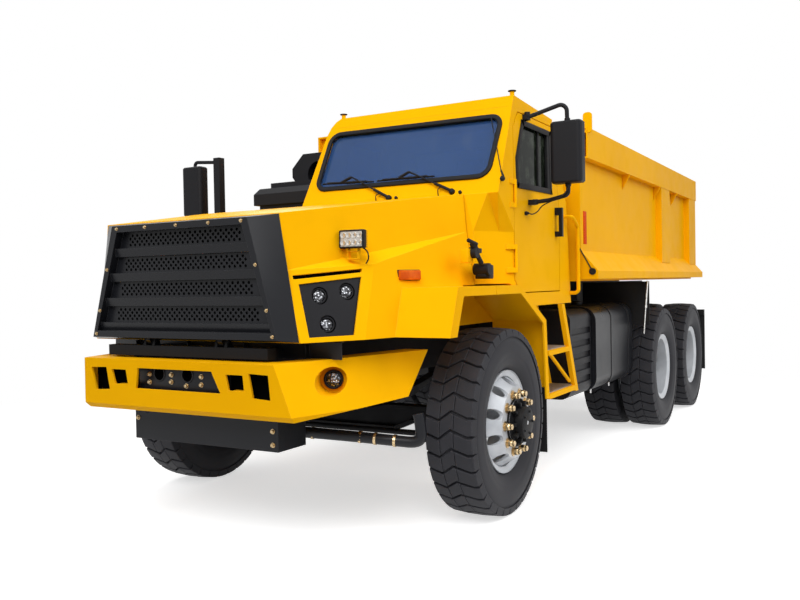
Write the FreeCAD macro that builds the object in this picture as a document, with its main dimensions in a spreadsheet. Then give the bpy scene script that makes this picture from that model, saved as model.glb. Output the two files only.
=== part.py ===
"""Underground mining truck: offset steel cab, tilting nose, tandem rear axle and tipping body.

Modelled in millimetres in the vehicle's own frame: +X forward, +Y to the vehicle's left, +Z up,
the ground at z = 0 and the origin under the middle of the overall length.  Every sub-part is laid
out from the front axle's centre line and then moved by the distance from the origin to that axle.
"""
import FreeCAD, Part
import Sketcher
import math
import os
import re
from FreeCAD import Placement, Rotation, Vector

# ----------------------------------------------------------------------------------------------
# Driving dimensions, in mm or degrees.  Distances behind the front axle are given as positive.
# ----------------------------------------------------------------------------------------------
SIZES = {
    # overall layout
    "front_end": 1428,
    "rear_end": 5400,
    "wheelbase": 3400,
    "bogie_spread": 1330,
    "mirror_reach": 1560,
    "gap": 6,
    "seat_gap": 0.3,
    # wheels
    "tyre_radius": 545,
    "tyre_half": 145,
    "rim_radius": 298,
    "rim_half": 115,
    "barrel_radius": 262,
    "bolt_face_radius": 200,
    "hub_radius": 139,
    "cap_radius": 88,
    "hand_hole_radius": 30,
    "hand_hole_circle": 234,
    "hand_holes": 10,
    "front_wheel_y": 1105,
    "front_bolt_face": 171,
    "rear_wheel_y": 1070,
    "dual_half": 172,
    "spindle_radius": 40,
    "running_gap": 0.25,
    # frame
    "rail_side": 430,
    "rail_flange": 80,
    "rail_wall": 10,
    "rail_low": 780,
    "rail_high": 1040,
    "rail_front": 1280,
    "rail_rear": 5340,
    "member_width": 90,
    "tow_plate": 16,
    "tow_z": 900,
    "tow_spread_y": 160,
    "tow_spread_z": 100,
    "tow_hole": 10.5,
    # nose cross member and its hinge
    "nose_member_half": 550,
    "nose_member_front": 1345,
    "nose_member_low": 1000,
    "nose_member_high": 1055,
    "hinge_x": 1318,
    "hinge_z": 1080,
    "hinge_pin": 12,
    "hinge_arm_y": 250,
    # bumper
    "bumper_top": 988,
    "bumper_low": 734,
    "bumper_fold": 29,
    "bumper_tuck": 24,
    "bumper_lean": 50,
    "bumper_top_half": 648,
    "bumper_low_half": 711,
    "wing_y": 925,
    "wing_top_x": 410,
    "wing_low_x": 660,
    "bumper_plate": 12,
    "bumper_ledge": 140,
    "guard_front": 1215,
    "guard_rear": 985,
    "guard_half": 500,
    "guard_low": 525,
    "guard_high": 695,
    # nose: a folded shell that tapers towards the front
    "nose_front": 1290,
    "nose_rear": 100,
    "nose_front_top_half": 600,
    "nose_front_top": 1710,
    "nose_rear_top_half": 1010,
    "nose_rear_top": 1870,
    "crease_front_half": 622,
    "crease_front": 1430,
    "crease_rear": 1650,
    "nose_low": 1080,
    "cheek_x": 850,
    "cheek_half": 857,
    "cheek_top": 1460,
    "cheek_low_x": 983,
    "cheek_low_half": 878,
    "nose_skin": 14,
    "seam_low": 1345,
    "front_low_half": 705,
    # grille
    "grille_front": 1378,
    "grille_top_half": 466,
    "grille_low_half": 634,
    "grille_top": 1692,
    "grille_low": 1097,
    "grille_bars": 4,
    "grille_plate": 12,
    # wheel arches
    "arch_outer": 1250,
    "arch_inner": 880,
    "arch_top": 1335,
    "arch_front": 680,
    "arch_front_low": 780,
    "arch_split": 200,
    "arch_slope_start": 160,
    "arch_slope_end": 600,
    "arch_slope_low": 1107,
    "arch_tail": 640,
    "arch_tail_low": 600,
    "arch_lip": 50,
    "arch_sheet": 12,
    # cab
    "cab_left": 1200,
    "cab_right": 200,
    "cab_wall": 50,
    "cab_roof_front": 230,
    "cab_roof_rear": 900,
    "cab_top": 2480,
    "cab_rear_top": 2440,
    "roof_low": 2410,
    "cab_waist_x": 30,
    "cab_waist": 1875,
    "cab_corner_x": 90,
    "cab_corner_y": 1066,
    "cab_fold": 1655,
    "cab_shoulder": 67,
    "cab_shoulder_z": 2358,
    "cab_low": 1200,
    "cab_kick_x": 1170,
    "cab_kick": 1900,
    "cab_rear": 1250,
    "door_front": 210,
    "door_rear": 1010,
    "door_low": 1290,
    "door_top": 2385,
    "door_hinge_out": 10,
    "door_hinge_radius": 9,
    "door_hinge_low": 1440,
    "door_hinge_high": 1830,
    "door_hinge_length": 110,
    "glass": 8,
    # right-hand deck
    "deck_top": 1860,
    "deck_outer": 1185,
    # tipping body
    "bed_front": 1300,
    "bed_rear": 5360,
    "bed_floor": 1350,
    "bed_top": 2440,
    "bed_half": 1260,
    "bed_wall": 14,
    "band_out": 60,
    "band_low": 2222,
    "apron_out": 125,
    "apron_top": 1570,
    "apron_knee": 1422,
    "apron_low": 1365,
    "post_front": 3620,
    "post_width": 350,
    "headboard_half": 960,
    "headboard_top": 2590,
    "pivot_x": 5200,
    "pivot_z": 1100,
    "pivot_radius": 35,
    "tailgate_thick": 50,
    "tailgate_pin_z": 2360,
    "tailgate_pin": 18,
    # hoist
    "hoist_base_x": 2650,
    "hoist_base_z": 900,
    "hoist_pin_x": 3900,
    "hoist_pin_z": 1165,
    "hoist_barrel_radius": 75,
    "hoist_rod_radius": 45,
    "hoist_barrel_length": 1050,
    "hoist_lug_gap": 60,
    "hoist_pin": 26,
    # axles
    "kingpin_y": 930,
    "kingpin_radius": 25,
    "king_boss_radius": 52,
    "tie_rod_x": 280,
    "tie_rod_y": 860,
    "tie_rod_z": 473,
    "spring_in": 40,
    "spring_width": 76,
    "bogie_spring_out": 100,
}

doc = FreeCAD.newDocument("mining_truck")
sheet = doc.addObject("Spreadsheet::Sheet", "Sizes")
for row, (alias, number) in enumerate(SIZES.items(), start=1):
    sheet.set(f"A{row}", alias)
    sheet.set(f"B{row}", str(number))
    sheet.setAlias(f"B{row}", alias)
doc.recompute()

LEFT, RIGHT = 1, -1
AXLE_X = "(rear_end - front_end) / 2"
PARTS = []


# ----------------------------------------------------------------------------------------------
# Helpers
# ----------------------------------------------------------------------------------------------
def formula(text):
    """Turn the plain words of a formula into cells of the sheet."""
    return re.sub(r"[a-z][a-z_]*", lambda word: "Sizes." + word.group(0), str(text))


def size(text):
    """Value of a formula in sheet words."""
    return float(sheet.evalExpression(formula(text)))


def bind(item, prop, text):
    item.setExpression(prop, formula(text))


def place(item, name, x="0", y="0", z="0"):
    """Name a finished sub-part and seat it at a point measured from the front axle's centre."""
    item.Label = name
    bind(item, "Placement.Base.x", f"{AXLE_X} + {x}")
    bind(item, "Placement.Base.y", y)
    bind(item, "Placement.Base.z", z)
    PARTS.append(item)
    return item


def new_body(name, x="0", y="0", z="0"):
    body = doc.addObject("PartDesign::Body", name)
    body.AllowCompound = True
    return place(body, name, x, y, z)


def origin_feature(body, role):
    return next(item for item in body.Origin.OriginFeatures if item.Role == role)


def new_sketch(body, plane, level):
    """Sketch on one of the body's origin planes, moved to a level along that plane's axis."""
    sketch = body.newObject("Sketcher::SketchObject", "Outline")
    sketch.AttachmentSupport = [(origin_feature(body, plane + "_Plane"), "")]
    sketch.MapMode = "FlatFace"
    bind(sketch, "AttachmentOffset.Base.z", f"-({level})" if plane == "XZ" else level)
    return sketch


def draw(sketch, points):
    """Closed polygon whose corners are all bound to formulas."""
    corners = [Vector(size(across), size(along), 0) for across, along in points]
    for index, corner in enumerate(corners):
        following = corners[(index + 1) % len(corners)]
        sketch.addGeometry(Part.LineSegment(corner, following), False)
    for index, (across, along) in enumerate(points):
        following = (index + 1) % len(corners)
        sketch.addConstraint(Sketcher.Constraint("Coincident", index, 2, following, 1))
        for kind, text in (("DistanceX", across), ("DistanceY", along)):
            number = size(text)
            at = sketch.addConstraint(Sketcher.Constraint(kind, -1, 1, index, 1, number))
            bind(sketch, f"Constraints[{at}]", text)


def draw_circle(sketch, centre, radius):
    middle = Vector(size(centre[0]), size(centre[1]), 0)
    circle = sketch.addGeometry(Part.Circle(middle, Vector(0, 0, 1), size(radius)), False)
    at = sketch.addConstraint(Sketcher.Constraint("Radius", circle, size(radius)))
    bind(sketch, f"Constraints[{at}]", radius)
    for kind, text in zip(("DistanceX", "DistanceY"), centre):
        at = sketch.addConstraint(Sketcher.Constraint(kind, -1, 1, circle, 3, size(text)))
        bind(sketch, f"Constraints[{at}]", text)


def extrude(body, kind, plane, low, high, outline, round_at=None):
    """Pad or pocket between two levels; round_at is a centre when the outline is a radius."""
    sketch = new_sketch(body, plane, low)
    if round_at:
        draw_circle(sketch, round_at, outline)
    else:
        draw(sketch, outline)
    feature = body.newObject("PartDesign::" + kind, kind)
    feature.Profile = sketch
    bind(feature, "Length", f"({high}) - ({low})")
    feature.Reversed = (plane == "XZ") == (kind == "Pad")
    return feature


def pad(body, plane, low, high, outline, round_at=None):
    return extrude(body, "Pad", plane, low, high, outline, round_at)


def pocket(body, plane, low, high, outline, round_at=None):
    return extrude(body, "Pocket", plane, low, high, outline, round_at)


def revolve(body, plane, axis, outline, kind="Revolution"):
    sketch = new_sketch(body, plane, "0")
    draw(sketch, outline)
    feature = body.newObject("PartDesign::" + kind, kind)
    feature.Profile = sketch
    feature.ReferenceAxis = (origin_feature(body, axis + "_Axis"), [""])
    return feature


def mirror(body, features, plane="XZ"):
    copy = body.newObject("PartDesign::Mirrored", "Mirrored")
    copy.Originals = features
    copy.MirrorPlane = (origin_feature(body, plane + "_Plane"), [""])
    body.Tip = copy
    return copy


def polar(body, features, axis, count):
    ring = body.newObject("PartDesign::PolarPattern", "Ring")
    ring.Originals = features
    ring.Axis = (origin_feature(body, axis + "_Axis"), [""])
    ring.Angle = 360
    bind(ring, "Occurrences", count)
    body.Tip = ring
    return ring


def feature(name, shape, x="0", y="0", z="0"):
    """Sub-part whose shape is worked out from the sheet by this file's own geometry."""
    item = doc.addObject("Part::Feature", name)
    item.Shape = shape
    return place(item, name, x, y, z)


def box(x, y, z):
    """Block between (low, high) pairs, given as formulas."""
    (x_low, x_high), (y_low, y_high), (z_low, z_high) = [sorted(map(size, pair)) for pair in (x, y, z)]
    return Part.makeBox(x_high - x_low, y_high - y_low, z_high - z_low, Vector(x_low, y_low, z_low))


def rod(start, end, radius):
    start, end = Vector(*start), Vector(*end)
    return Part.makeCylinder(radius, (end - start).Length, start, end - start)


def panel(points, travel):
    """Flat outline of 3-D points pushed along a vector."""
    outline = Part.makePolygon([Vector(*point) for point in points + points[:1]])
    return Part.Face(outline).extrude(Vector(*travel))


def prism(plane, low, high, outline):
    """Outline in formulas pushed between two levels along the axis square to its plane."""
    start, run = size(low), size(high) - size(low)
    flat = [(size(across), size(along)) for across, along in outline]
    if plane == "XZ":
        return panel([(across, start, along) for across, along in flat], (0, run, 0))
    if plane == "YZ":
        return panel([(start, across, along) for across, along in flat], (run, 0, 0))
    return panel([(across, along, start) for across, along in flat], (0, 0, run))


def solid_of(faces):
    """Closed solid from flat faces, each a list of corner points."""
    made = [Part.Face(Part.makePolygon([Vector(*p) for p in face + face[:1]])) for face in faces]
    return Part.Solid(Part.Shell(made))


def frustum(low_outline, high_outline):
    """Solid with flat sides between two outlines of as many corners."""
    wires = [Part.makePolygon([Vector(*p) for p in pts + pts[:1]]) for pts in (low_outline, high_outline)]
    return Part.makeLoft(wires, True, True)


def rounded(block, corner, edge):
    """Block with rounded upright corners and softer edges above and below."""
    upright = [line for line in block.Edges if abs(line.tangentAt(line.FirstParameter).z) > 0.9]
    block = block.makeFillet(corner, upright)
    level = [line for line in block.Edges if line.BoundBox.ZLength < 1]
    return block.makeChamfer(edge, level)


def join(shapes):
    first, *others = shapes
    return first.multiFuse(others).removeSplitter() if others else first


def both_sides(shape):
    """A shape and its mirror image across the vehicle's centre plane."""
    return shape, shape.mirror(Vector(0, 0, 0), Vector(0, 1, 0))


def on_plane(first, second, third, x, z):
    """Point at x and z on the plane through three points."""
    a, b, c = Vector(*first), Vector(*second), Vector(*third)
    normal = (b - a).cross(c - a)
    y = a.y - (normal.x * (x - a.x) + normal.z * (z - a.z)) / normal.y
    return (x, y, z)


def tube(points, radius, bend):
    """Round bar along straight runs with bends of one radius."""
    route = [Vector(*point) for point in points]
    pieces = []
    start = route[0]
    for before, corner, after in zip(route, route[1:], route[2:]):
        back = (before - corner).normalize()
        ahead = (after - corner).normalize()
        half = back.getAngle(ahead) / 2
        reach = bend / math.tan(half)
        enter = corner + back * reach
        centre = corner + (back + ahead).normalize() * (bend / math.sin(half))
        disc = Part.Face(Part.Wire(Part.makeCircle(radius, enter, back)))
        turn = 180 - math.degrees(2 * half)
        pieces.append(disc.revolve(centre, ahead.cross(back), turn))
        pieces.append(rod(start, enter, radius))
        start = corner + ahead * reach
    pieces.append(rod(start, route[-1], radius))
    return join(pieces)


# ----------------------------------------------------------------------------------------------
# Frame, nose cross member, bumper and guard
# ----------------------------------------------------------------------------------------------
def frame():
    body = new_body("frame_rails")
    inner, face = "rail_side - rail_flange", "rail_side - rail_wall"
    channel = [("rail_side", "rail_low"), ("rail_side", "rail_high"), (inner, "rail_high"),
               (inner, "rail_high - rail_wall"), (face, "rail_high - rail_wall"),
               (face, "rail_low + rail_wall"), (inner, "rail_low + rail_wall"), (inner, "rail_low")]
    rail = pad(body, "YZ", "-rail_rear", "rail_front", channel)
    ear_low, ear_high = "rail_side - rail_flange", "rail_side - rail_flange + 22"
    lug = pad(body, "XZ", ear_low, ear_high,
              [("-pivot_x - 90", "rail_high - 1"), ("-pivot_x + 90", "rail_high - 1"),
               ("-pivot_x + 50", "pivot_z + 20"), ("-pivot_x", "pivot_z + 48"),
               ("-pivot_x - 50", "pivot_z + 20")])
    hoist_lug = pad(body, "XZ", "hoist_lug_gap", "hoist_lug_gap + 20",
                    [("-hoist_base_x - 45", "hoist_base_z - 45"), ("-hoist_base_x + 62", "hoist_base_z - 45"),
                     ("-hoist_base_x + 62", "hoist_base_z + 50"), ("-hoist_base_x - 28", "hoist_base_z + 45"),
                     ("-hoist_base_x - 48", "hoist_base_z + 20")])
    mirror(body, [rail, lug, hoist_lug])
    for rear in ("1130", "-900", "-1900", "-hoist_base_x + 60", "-4110"):
        front = f"{rear} + member_width"
        pad(body, "XZ", f"-({face})", face,
            [(rear, "rail_low + 110"), (front, "rail_low + 110"), (front, "rail_low + 120"),
             (f"{rear} + 10", "rail_low + 120"), (f"{rear} + 10", "rail_high - 60"),
             (front, "rail_high - 60"), (front, "rail_high - 50"), (rear, "rail_high - 50")])
    pad(body, "XZ", "-rail_side - 42", "rail_side + 42", "pivot_radius",
        round_at=("-pivot_x", "pivot_z"))
    pad(body, "XZ", "-(hoist_lug_gap + 20)", "hoist_lug_gap + 20", "hoist_pin",
        round_at=("-hoist_base_x", "hoist_base_z"))
    # the rear end plate carries the mudflap arms and the towing coupling's four bolts
    pad(body, "YZ", "-rail_rear - tow_plate", "-rail_rear",
        [("-rail_side", "rail_low - 60"), ("rail_side", "rail_low - 60"),
         ("rail_side", "rail_high"), ("-rail_side", "rail_high")])
    for y in ("-tow_spread_y / 2", "tow_spread_y / 2"):
        for z in ("tow_z - tow_spread_z / 2", "tow_z + tow_spread_z / 2"):
            pocket(body, "YZ", "-rail_rear - tow_plate - 1", "-rail_rear + 1", "tow_hole", round_at=(y, z))


def nose_member():
    body = new_body("nose_crossmember")
    pad(body, "YZ", "rail_front", "nose_member_front",
        [("-nose_member_half", "nose_member_low"), ("nose_member_half", "nose_member_low"),
         ("nose_member_half", "nose_member_high"), ("-nose_member_half", "nose_member_high")])
    pocket(body, "YZ", "rail_front - 1", "nose_member_front - 10",
           [("-nose_member_half + 10", "nose_member_low - 1"), ("nose_member_half - 10", "nose_member_low - 1"),
            ("nose_member_half - 10", "nose_member_high - 10"), ("-nose_member_half + 10", "nose_member_high - 10")])
    stop = pad(body, "YZ", "rail_front", "nose_member_front - 5",
               [("rail_side - 60", "nose_member_low"), ("rail_side", "nose_member_low"),
                ("rail_side", "nose_member_high - 5"), ("rail_side - 60", "nose_member_high - 5")])
    ears = [pad(body, "XZ", low, high,
                [("hinge_x - 24", "nose_member_high - 2"), ("hinge_x + 24", "nose_member_high - 2"),
                 ("hinge_x + 12", "hinge_z + 14"), ("hinge_x - 12", "hinge_z + 14")])
            for low, high in (("hinge_arm_y - 40", "hinge_arm_y - 24"), ("hinge_arm_y + 24", "hinge_arm_y + 40"))]
    pin = pad(body, "XZ", "hinge_arm_y - 44", "hinge_arm_y + 44", "hinge_pin", round_at=("hinge_x", "hinge_z"))
    mirror(body, [stop, *ears, pin])


def bumper_outline(z, inset, open_rear=False):
    """Corners of the bumper at one height, drawn in by an inset; an open outline runs on past the wings."""
    share = (size("bumper_top") - z) / size("bumper_top - bumper_low")
    front = size("front_end") - share * size("bumper_lean") - inset
    half = size("bumper_top_half") + share * size("bumper_low_half - bumper_top_half") - inset * 0.6
    wing_x = size("wing_top_x") + share * size("wing_low_x - wing_top_x")
    wing_y = size("wing_y") - inset * 1.04
    points = [(front, half, z), (front, -half, z), (wing_x, -wing_y, z), (wing_x, wing_y, z)]
    if open_rear:
        points[3:3] = [(wing_x - 300, -wing_y, z), (wing_x - 300, wing_y, z)]
    return points


def bumper_form(inset, over=0):
    """Leaning face of the bumper above its tucked-in lower edge."""
    hollow = inset > 0
    top, fold = size("bumper_top") + over, size("bumper_low")
    foot = size("bumper_low - bumper_fold") - over
    tuck = size("bumper_tuck") + inset
    face = frustum(bumper_outline(fold, inset, hollow), bumper_outline(top, inset, hollow))
    return face.fuse(frustum(bumper_outline(foot, tuck, hollow), bumper_outline(fold, inset, hollow)))


def fog_lamp_pocket(outer):
    """Round cup let into the wing at an angle, and the hole it is let into."""
    mouth, axis = Vector(1113, 756, 881), Vector(math.cos(math.radians(27)), math.sin(math.radians(27)), 0)
    floor, rim = mouth - axis * 112, mouth + axis * 150
    bore, wall = 70, 80
    cup = rod(tuple(floor - axis * 10), tuple(rim), wall).common(outer)
    return cup, rod(tuple(floor), tuple(rim), bore)


def bumper():
    plate = size("bumper_plate")
    low, top = size("bumper_low - bumper_fold"), size("bumper_top")
    outer = bumper_form(0)
    shell = outer.cut(bumper_form(plate, 5))
    ledge = frustum(bumper_outline(top - plate, 0), bumper_outline(top, 0))
    inside = size("bumper_ledge")
    ledge = ledge.cut(frustum(bumper_outline(top - plate - 5, inside, True), bumper_outline(top + 5, inside, True)))
    arms = both_sides(box(("rail_front", "front_end - bumper_lean + 4"),
                          ("rail_side - 70", "rail_side"), ("rail_low + 20", "bumper_top - 23")))
    shape = join([shell, ledge, *arms])
    cup, hole = fog_lamp_pocket(outer)
    for side_cup, side_hole in zip(both_sides(cup), both_sides(hole)):
        shape = shape.fuse(side_cup).cut(side_hole)
    # the lower edge of each wing rises towards its end
    rise = [("front_end - bumper_lean - 1", "650"), ("front_end - bumper_lean - 1", "bumper_low - bumper_fold"),
            ("wing_low_x + 10", "bumper_low + 19"), ("wing_low_x - 80", "bumper_low + 25"),
            ("wing_low_x - 80", "650")]
    shape = shape.cut(prism("XZ", "-wing_y - 5", "wing_y + 5", rise))
    far = size("front_end") + 50
    near = size("front_end - bumper_lean") - 60
    slots = [[(490, 940), (608, 936), (600, 812), (494, 818)],
             [(345, 930), (452, 930), (446, 850), (348, 850)]]
    for corners in slots:
        for cut in both_sides(panel([(near, y, z) for y, z in corners], (far - near, 0, 0))):
            shape = shape.cut(cut)
    middle = [(-255, 942), (255, 942), (292, 832), (-292, 832)]
    shape = shape.cut(panel([(near, y, z) for y, z in middle], (far - near, 0, 0)))
    feature("front_bumper", shape.removeSplitter())


def guard():
    body = new_body("lower_guard")
    pad(body, "YZ", "guard_rear", "guard_front",
        [("-guard_half", "guard_low"), ("guard_half", "guard_low"),
         ("guard_half", "guard_high"), ("-guard_half", "guard_high")])
    pocket(body, "YZ", "guard_rear - 1", "guard_front - 10",
           [("-guard_half + 10", "guard_low + 10"), ("guard_half - 10", "guard_low + 10"),
            ("guard_half - 10", "guard_high + 1"), ("-guard_half + 10", "guard_high + 1")])
    hanger = pad(body, "YZ", "guard_rear + 40", "guard_front - 40",
                 [("rail_side - 60", "guard_low + 5"), ("rail_side - 44", "guard_low + 5"),
                  ("rail_side - 44", "rail_low"), ("rail_side - 60", "rail_low")])
    mirror(body, [hanger])


# ----------------------------------------------------------------------------------------------
# Power train and running gear
# ----------------------------------------------------------------------------------------------
PINION_NOSE = 240


def power_train():
    """Engine as one block, gearbox and the two shafts between it and the rear axles."""
    inner = "rail_side - rail_flange"
    feature("engine_block", box(("130", "990"), (f"-({inner})", inner), ("760", "1440")))
    gearbox = box(("-640", "130"), ("-210", "210"), ("720", "1060"))
    height, play = size("tyre_radius"), size("seat_gap")
    main_end = size("-wheelbase") + PINION_NOSE + play
    short_start = size("-wheelbase") - PINION_NOSE - play
    short_end = size("-wheelbase - bogie_spread") + PINION_NOSE + play
    main = join([rod((-640, 0, 860), (main_end + 60, 0, height), 42), rod((-640, 0, 860), (-720, 0, 850), 70),
                 rod((main_end, 0, height), (main_end + 75, 0, height), 60)])
    short = join([rod((short_start, 0, height), (short_end, 0, height), 42),
                  rod((short_start, 0, height), (short_start - 70, 0, height), 60),
                  rod((short_end, 0, height), (short_end + 70, 0, height), 60)])
    feature("driveline", Part.Compound([gearbox.fuse(main), short]))


def front_axle():
    body = new_body("front_axle", z="tyre_radius")
    outline = [("-kingpin_y - king_boss_radius + 12", "-45"), ("-620", "-45"), ("-500", "-95"), ("500", "-95"),
               ("620", "-45"), ("kingpin_y + king_boss_radius - 12", "-45"),
               ("kingpin_y + king_boss_radius - 12", "60"), ("470", "60"), ("-470", "60"),
               ("-kingpin_y - king_boss_radius + 12", "60")]
    pad(body, "YZ", "-48", "48", outline)
    web = [("-800", "-25"), ("-600", "-25"), ("-480", "-72"), ("480", "-72"), ("600", "-25"),
           ("800", "-25"), ("800", "38"), ("-800", "38")]
    pocket(body, "YZ", "12", "60", web)
    pocket(body, "YZ", "-60", "-12", web)
    boss = pad(body, "XY", "-62", "72", "king_boss_radius", round_at=("0", "kingpin_y"))
    mirror(body, [boss])
    bore = pocket(body, "XY", "-80", "90", "kingpin_radius + running_gap", round_at=("0", "kingpin_y"))
    mirror(body, [bore])


def steering_knuckle(name, side):
    """Fork round the axle's boss, with the kingpin, the wheel spindle and the tie rod's arm."""
    pin_y = f"{side} * kingpin_y"
    outward = size("king_boss_radius") + 8
    web_low, web_high = outward, outward + 34
    reach = 52
    pieces = [rod((0, 0, -112), (0, 0, 122), size("kingpin_radius")),
              rod((0, 0, 73), (0, 0, 112), reach), rod((0, 0, -102), (0, 0, -63), reach)]
    pieces.append(Part.makeBox(2 * reach, web_high, 39, Vector(-reach, 0, 73)))
    pieces.append(Part.makeBox(2 * reach, web_high, 39, Vector(-reach, 0, -102)))
    pieces.append(Part.makeBox(2 * reach, web_high - web_low, 214, Vector(-reach, web_low, -102)))
    spindle = size("front_wheel_y - kingpin_y + cap_radius")
    pieces.append(rod((0, web_low, 0), (0, spindle, 0), size("spindle_radius")))
    rod_x, rod_y = size("tie_rod_x"), size("tie_rod_y - kingpin_y")
    arm_low, arm_thick = -98, 22
    arm = panel([(0, -46, arm_low), (0, 40, arm_low), (rod_x, rod_y + 30, arm_low),
                 (rod_x, rod_y - 30, arm_low)], (0, 0, arm_thick))
    pieces.append(arm)
    pieces.append(rod((rod_x, rod_y, arm_low), (rod_x, rod_y, arm_low + arm_thick), 34))
    shape = join(pieces)
    if side == RIGHT:
        shape = shape.mirror(Vector(0, 0, 0), Vector(0, 1, 0))
    feature(name, shape, y=pin_y, z="tyre_radius")


def tie_rod():
    rod_x, rod_y = size("tie_rod_x"), size("tie_rod_y")
    seat = size("tyre_radius") - 98 + 22 + size("seat_gap")
    ends = [rod((rod_x, side * rod_y, seat), (rod_x, side * rod_y, seat + 38), 30) for side in (LEFT, RIGHT)]
    bar = rod((rod_x, -rod_y, seat + 20), (rod_x, rod_y, seat + 20), 17)
    feature("tie_rod", join([bar, *ends]))


def leaf_pack(middle, half_length, radius, leaves, thick, y, width, upward):
    """Stack of arched leaves, longest nearest the eye side, about a middle point."""
    stack = []
    for leaf in range(leaves):
        share = 1 - leaf * 0.62 / leaves
        inner = radius - thick * leaf if not upward else radius + thick * leaf
        outer = inner + thick
        swing = half_length * share / radius

        def point(angle, reach):
            rise = reach * math.cos(angle)
            z = middle.z + radius - rise if upward else middle.z - radius + rise
            return Vector(middle.x + reach * math.sin(angle), y - width / 2, z)

        inside = Part.Arc(point(-swing, inner), point(0, inner), point(swing, inner)).toShape()
        outside = Part.Arc(point(-swing, outer), point(0, outer), point(swing, outer)).toShape()
        ends = [Part.LineSegment(point(s, inner), point(s, outer)).toShape() for s in (-swing, swing)]
        face = Part.Face(Part.Wire(Part.__sortEdges__([inside, outside, *ends])))
        stack.append(face.extrude(Vector(0, width, 0)))
    return stack


AXLE_TUBE = 88
BOGIE_RADIUS = 2600


def bogie_crown():
    """Height of the underside of the bogie spring's main leaf at its middle."""
    span = size("bogie_spread / 2") + 70
    return size("tyre_radius") + AXLE_TUBE + 12 + BOGIE_RADIUS * (1 - math.cos(span / BOGIE_RADIUS))


def springs():
    high = size("tyre_radius + 60")
    y, width = size("rail_side - spring_in"), size("spring_width")
    front = leaf_pack(Vector(0, 0, high + 56), 700, 3200, 4, 14, y, width, True)
    rise = high + 56 + 3200 * (1 - math.cos(700 / 3200))
    rail = size("rail_low")
    for end in (-694, 694):
        front.append(Part.makeBox(60, width, rail - rise + 18, Vector(end - 30, y - width / 2, rise - 18)))
    front.append(Part.makeBox(150, width + 20, 24, Vector(-75, y - width / 2 - 10, high + 52)))
    front.append(Part.makeBox(130, width + 10, 10, Vector(-65, y - width / 2 - 5, high)))
    bogie_x = -size("wheelbase + bogie_spread / 2")
    rear_y, rear_width = size("rail_side + bogie_spring_out"), 90
    span = size("bogie_spread / 2") + 70
    crown = bogie_crown()
    rear = leaf_pack(Vector(bogie_x, 0, crown), span, BOGIE_RADIUS, 5, 18, rear_y, rear_width, False)
    rear.append(Part.makeBox(200, rear_width + 24, 60, Vector(bogie_x - 100, rear_y - rear_width / 2 - 12, crown)))
    inner = size("rail_side")
    rear.append(rod((bogie_x, inner, crown + 60), (bogie_x, rear_y + rear_width / 2 + 20, crown + 60), 60))
    rear.append(Part.makeBox(260, 14, 200, Vector(bogie_x - 130, inner, crown - 20)))
    packs = [*both_sides(join(front)), *both_sides(join(rear))]
    feature("leaf_springs", Part.Compound(packs))


def rear_axles():
    """Two banjo axles whose spring seats stand just under the ends of the bogie's springs."""
    half = size("rear_wheel_y + hub_radius")
    tube_end = size("rear_wheel_y - dual_half - tyre_half - 20")
    spindle = size("spindle_radius")
    height, y = size("tyre_radius"), size("rail_side + bogie_spring_out")
    reach = size("bogie_spread / 2") + 20
    swing = math.asin(reach / BOGIE_RADIUS)
    seat_top = bogie_crown() - BOGIE_RADIUS * (1 - math.cos(swing)) - size("seat_gap")
    shapes = []
    for x in (size("-wheelbase"), size("-wheelbase - bogie_spread")):
        outline = [(-half, 0), (-half, spindle), (-tube_end, spindle), (-tube_end, AXLE_TUBE), (-260, 92),
                   (-150, 180), (-60, 205), (60, 205), (150, 180), (260, 92), (tube_end, AXLE_TUBE),
                   (tube_end, spindle), (half, spindle), (half, 0)]
        points = [Vector(x, y, height + r) for y, r in outline]
        face = Part.Face(Part.makePolygon(points + points[:1]))
        noses = [rod((x, 0, height), (x + PINION_NOSE, 0, height), 66)]
        if len(shapes) == 0:
            noses.append(rod((x, 0, height), (x - PINION_NOSE, 0, height), 66))
        seats = both_sides(Part.makeBox(40, 110, seat_top - height, Vector(x - 20, y - 55, height)))
        housing = face.revolve(Vector(x, 0, height), Vector(0, 1, 0), 360)
        shapes.append(join([housing, *noses, *seats]))
    feature("rear_axles", Part.Compound(shapes))


# ----------------------------------------------------------------------------------------------
# Wheels
# ----------------------------------------------------------------------------------------------
def tyre_outline(centre):
    """Half section of a tyre about a centre plane, from bead to bead; the beads seat in the rim."""
    flank = [("rim_half - 20 - seat_gap", "barrel_radius + 6 + seat_gap"),
             ("rim_half - 14 - seat_gap", "rim_radius + seat_gap"), ("rim_half - 4", "rim_radius + 12"),
             ("tyre_half", "rim_radius + 110"), ("tyre_half", "tyre_radius - 95"),
             ("tyre_half - 12", "tyre_radius - 32"), ("tyre_half - 45", "tyre_radius - 6")]
    near = [(f"{centre} - ({across})", reach) for across, reach in flank]
    far = [(f"{centre} + ({across})", reach) for across, reach in reversed(flank)]
    return [*near, (f"{centre}", "tyre_radius"), *far]


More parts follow.
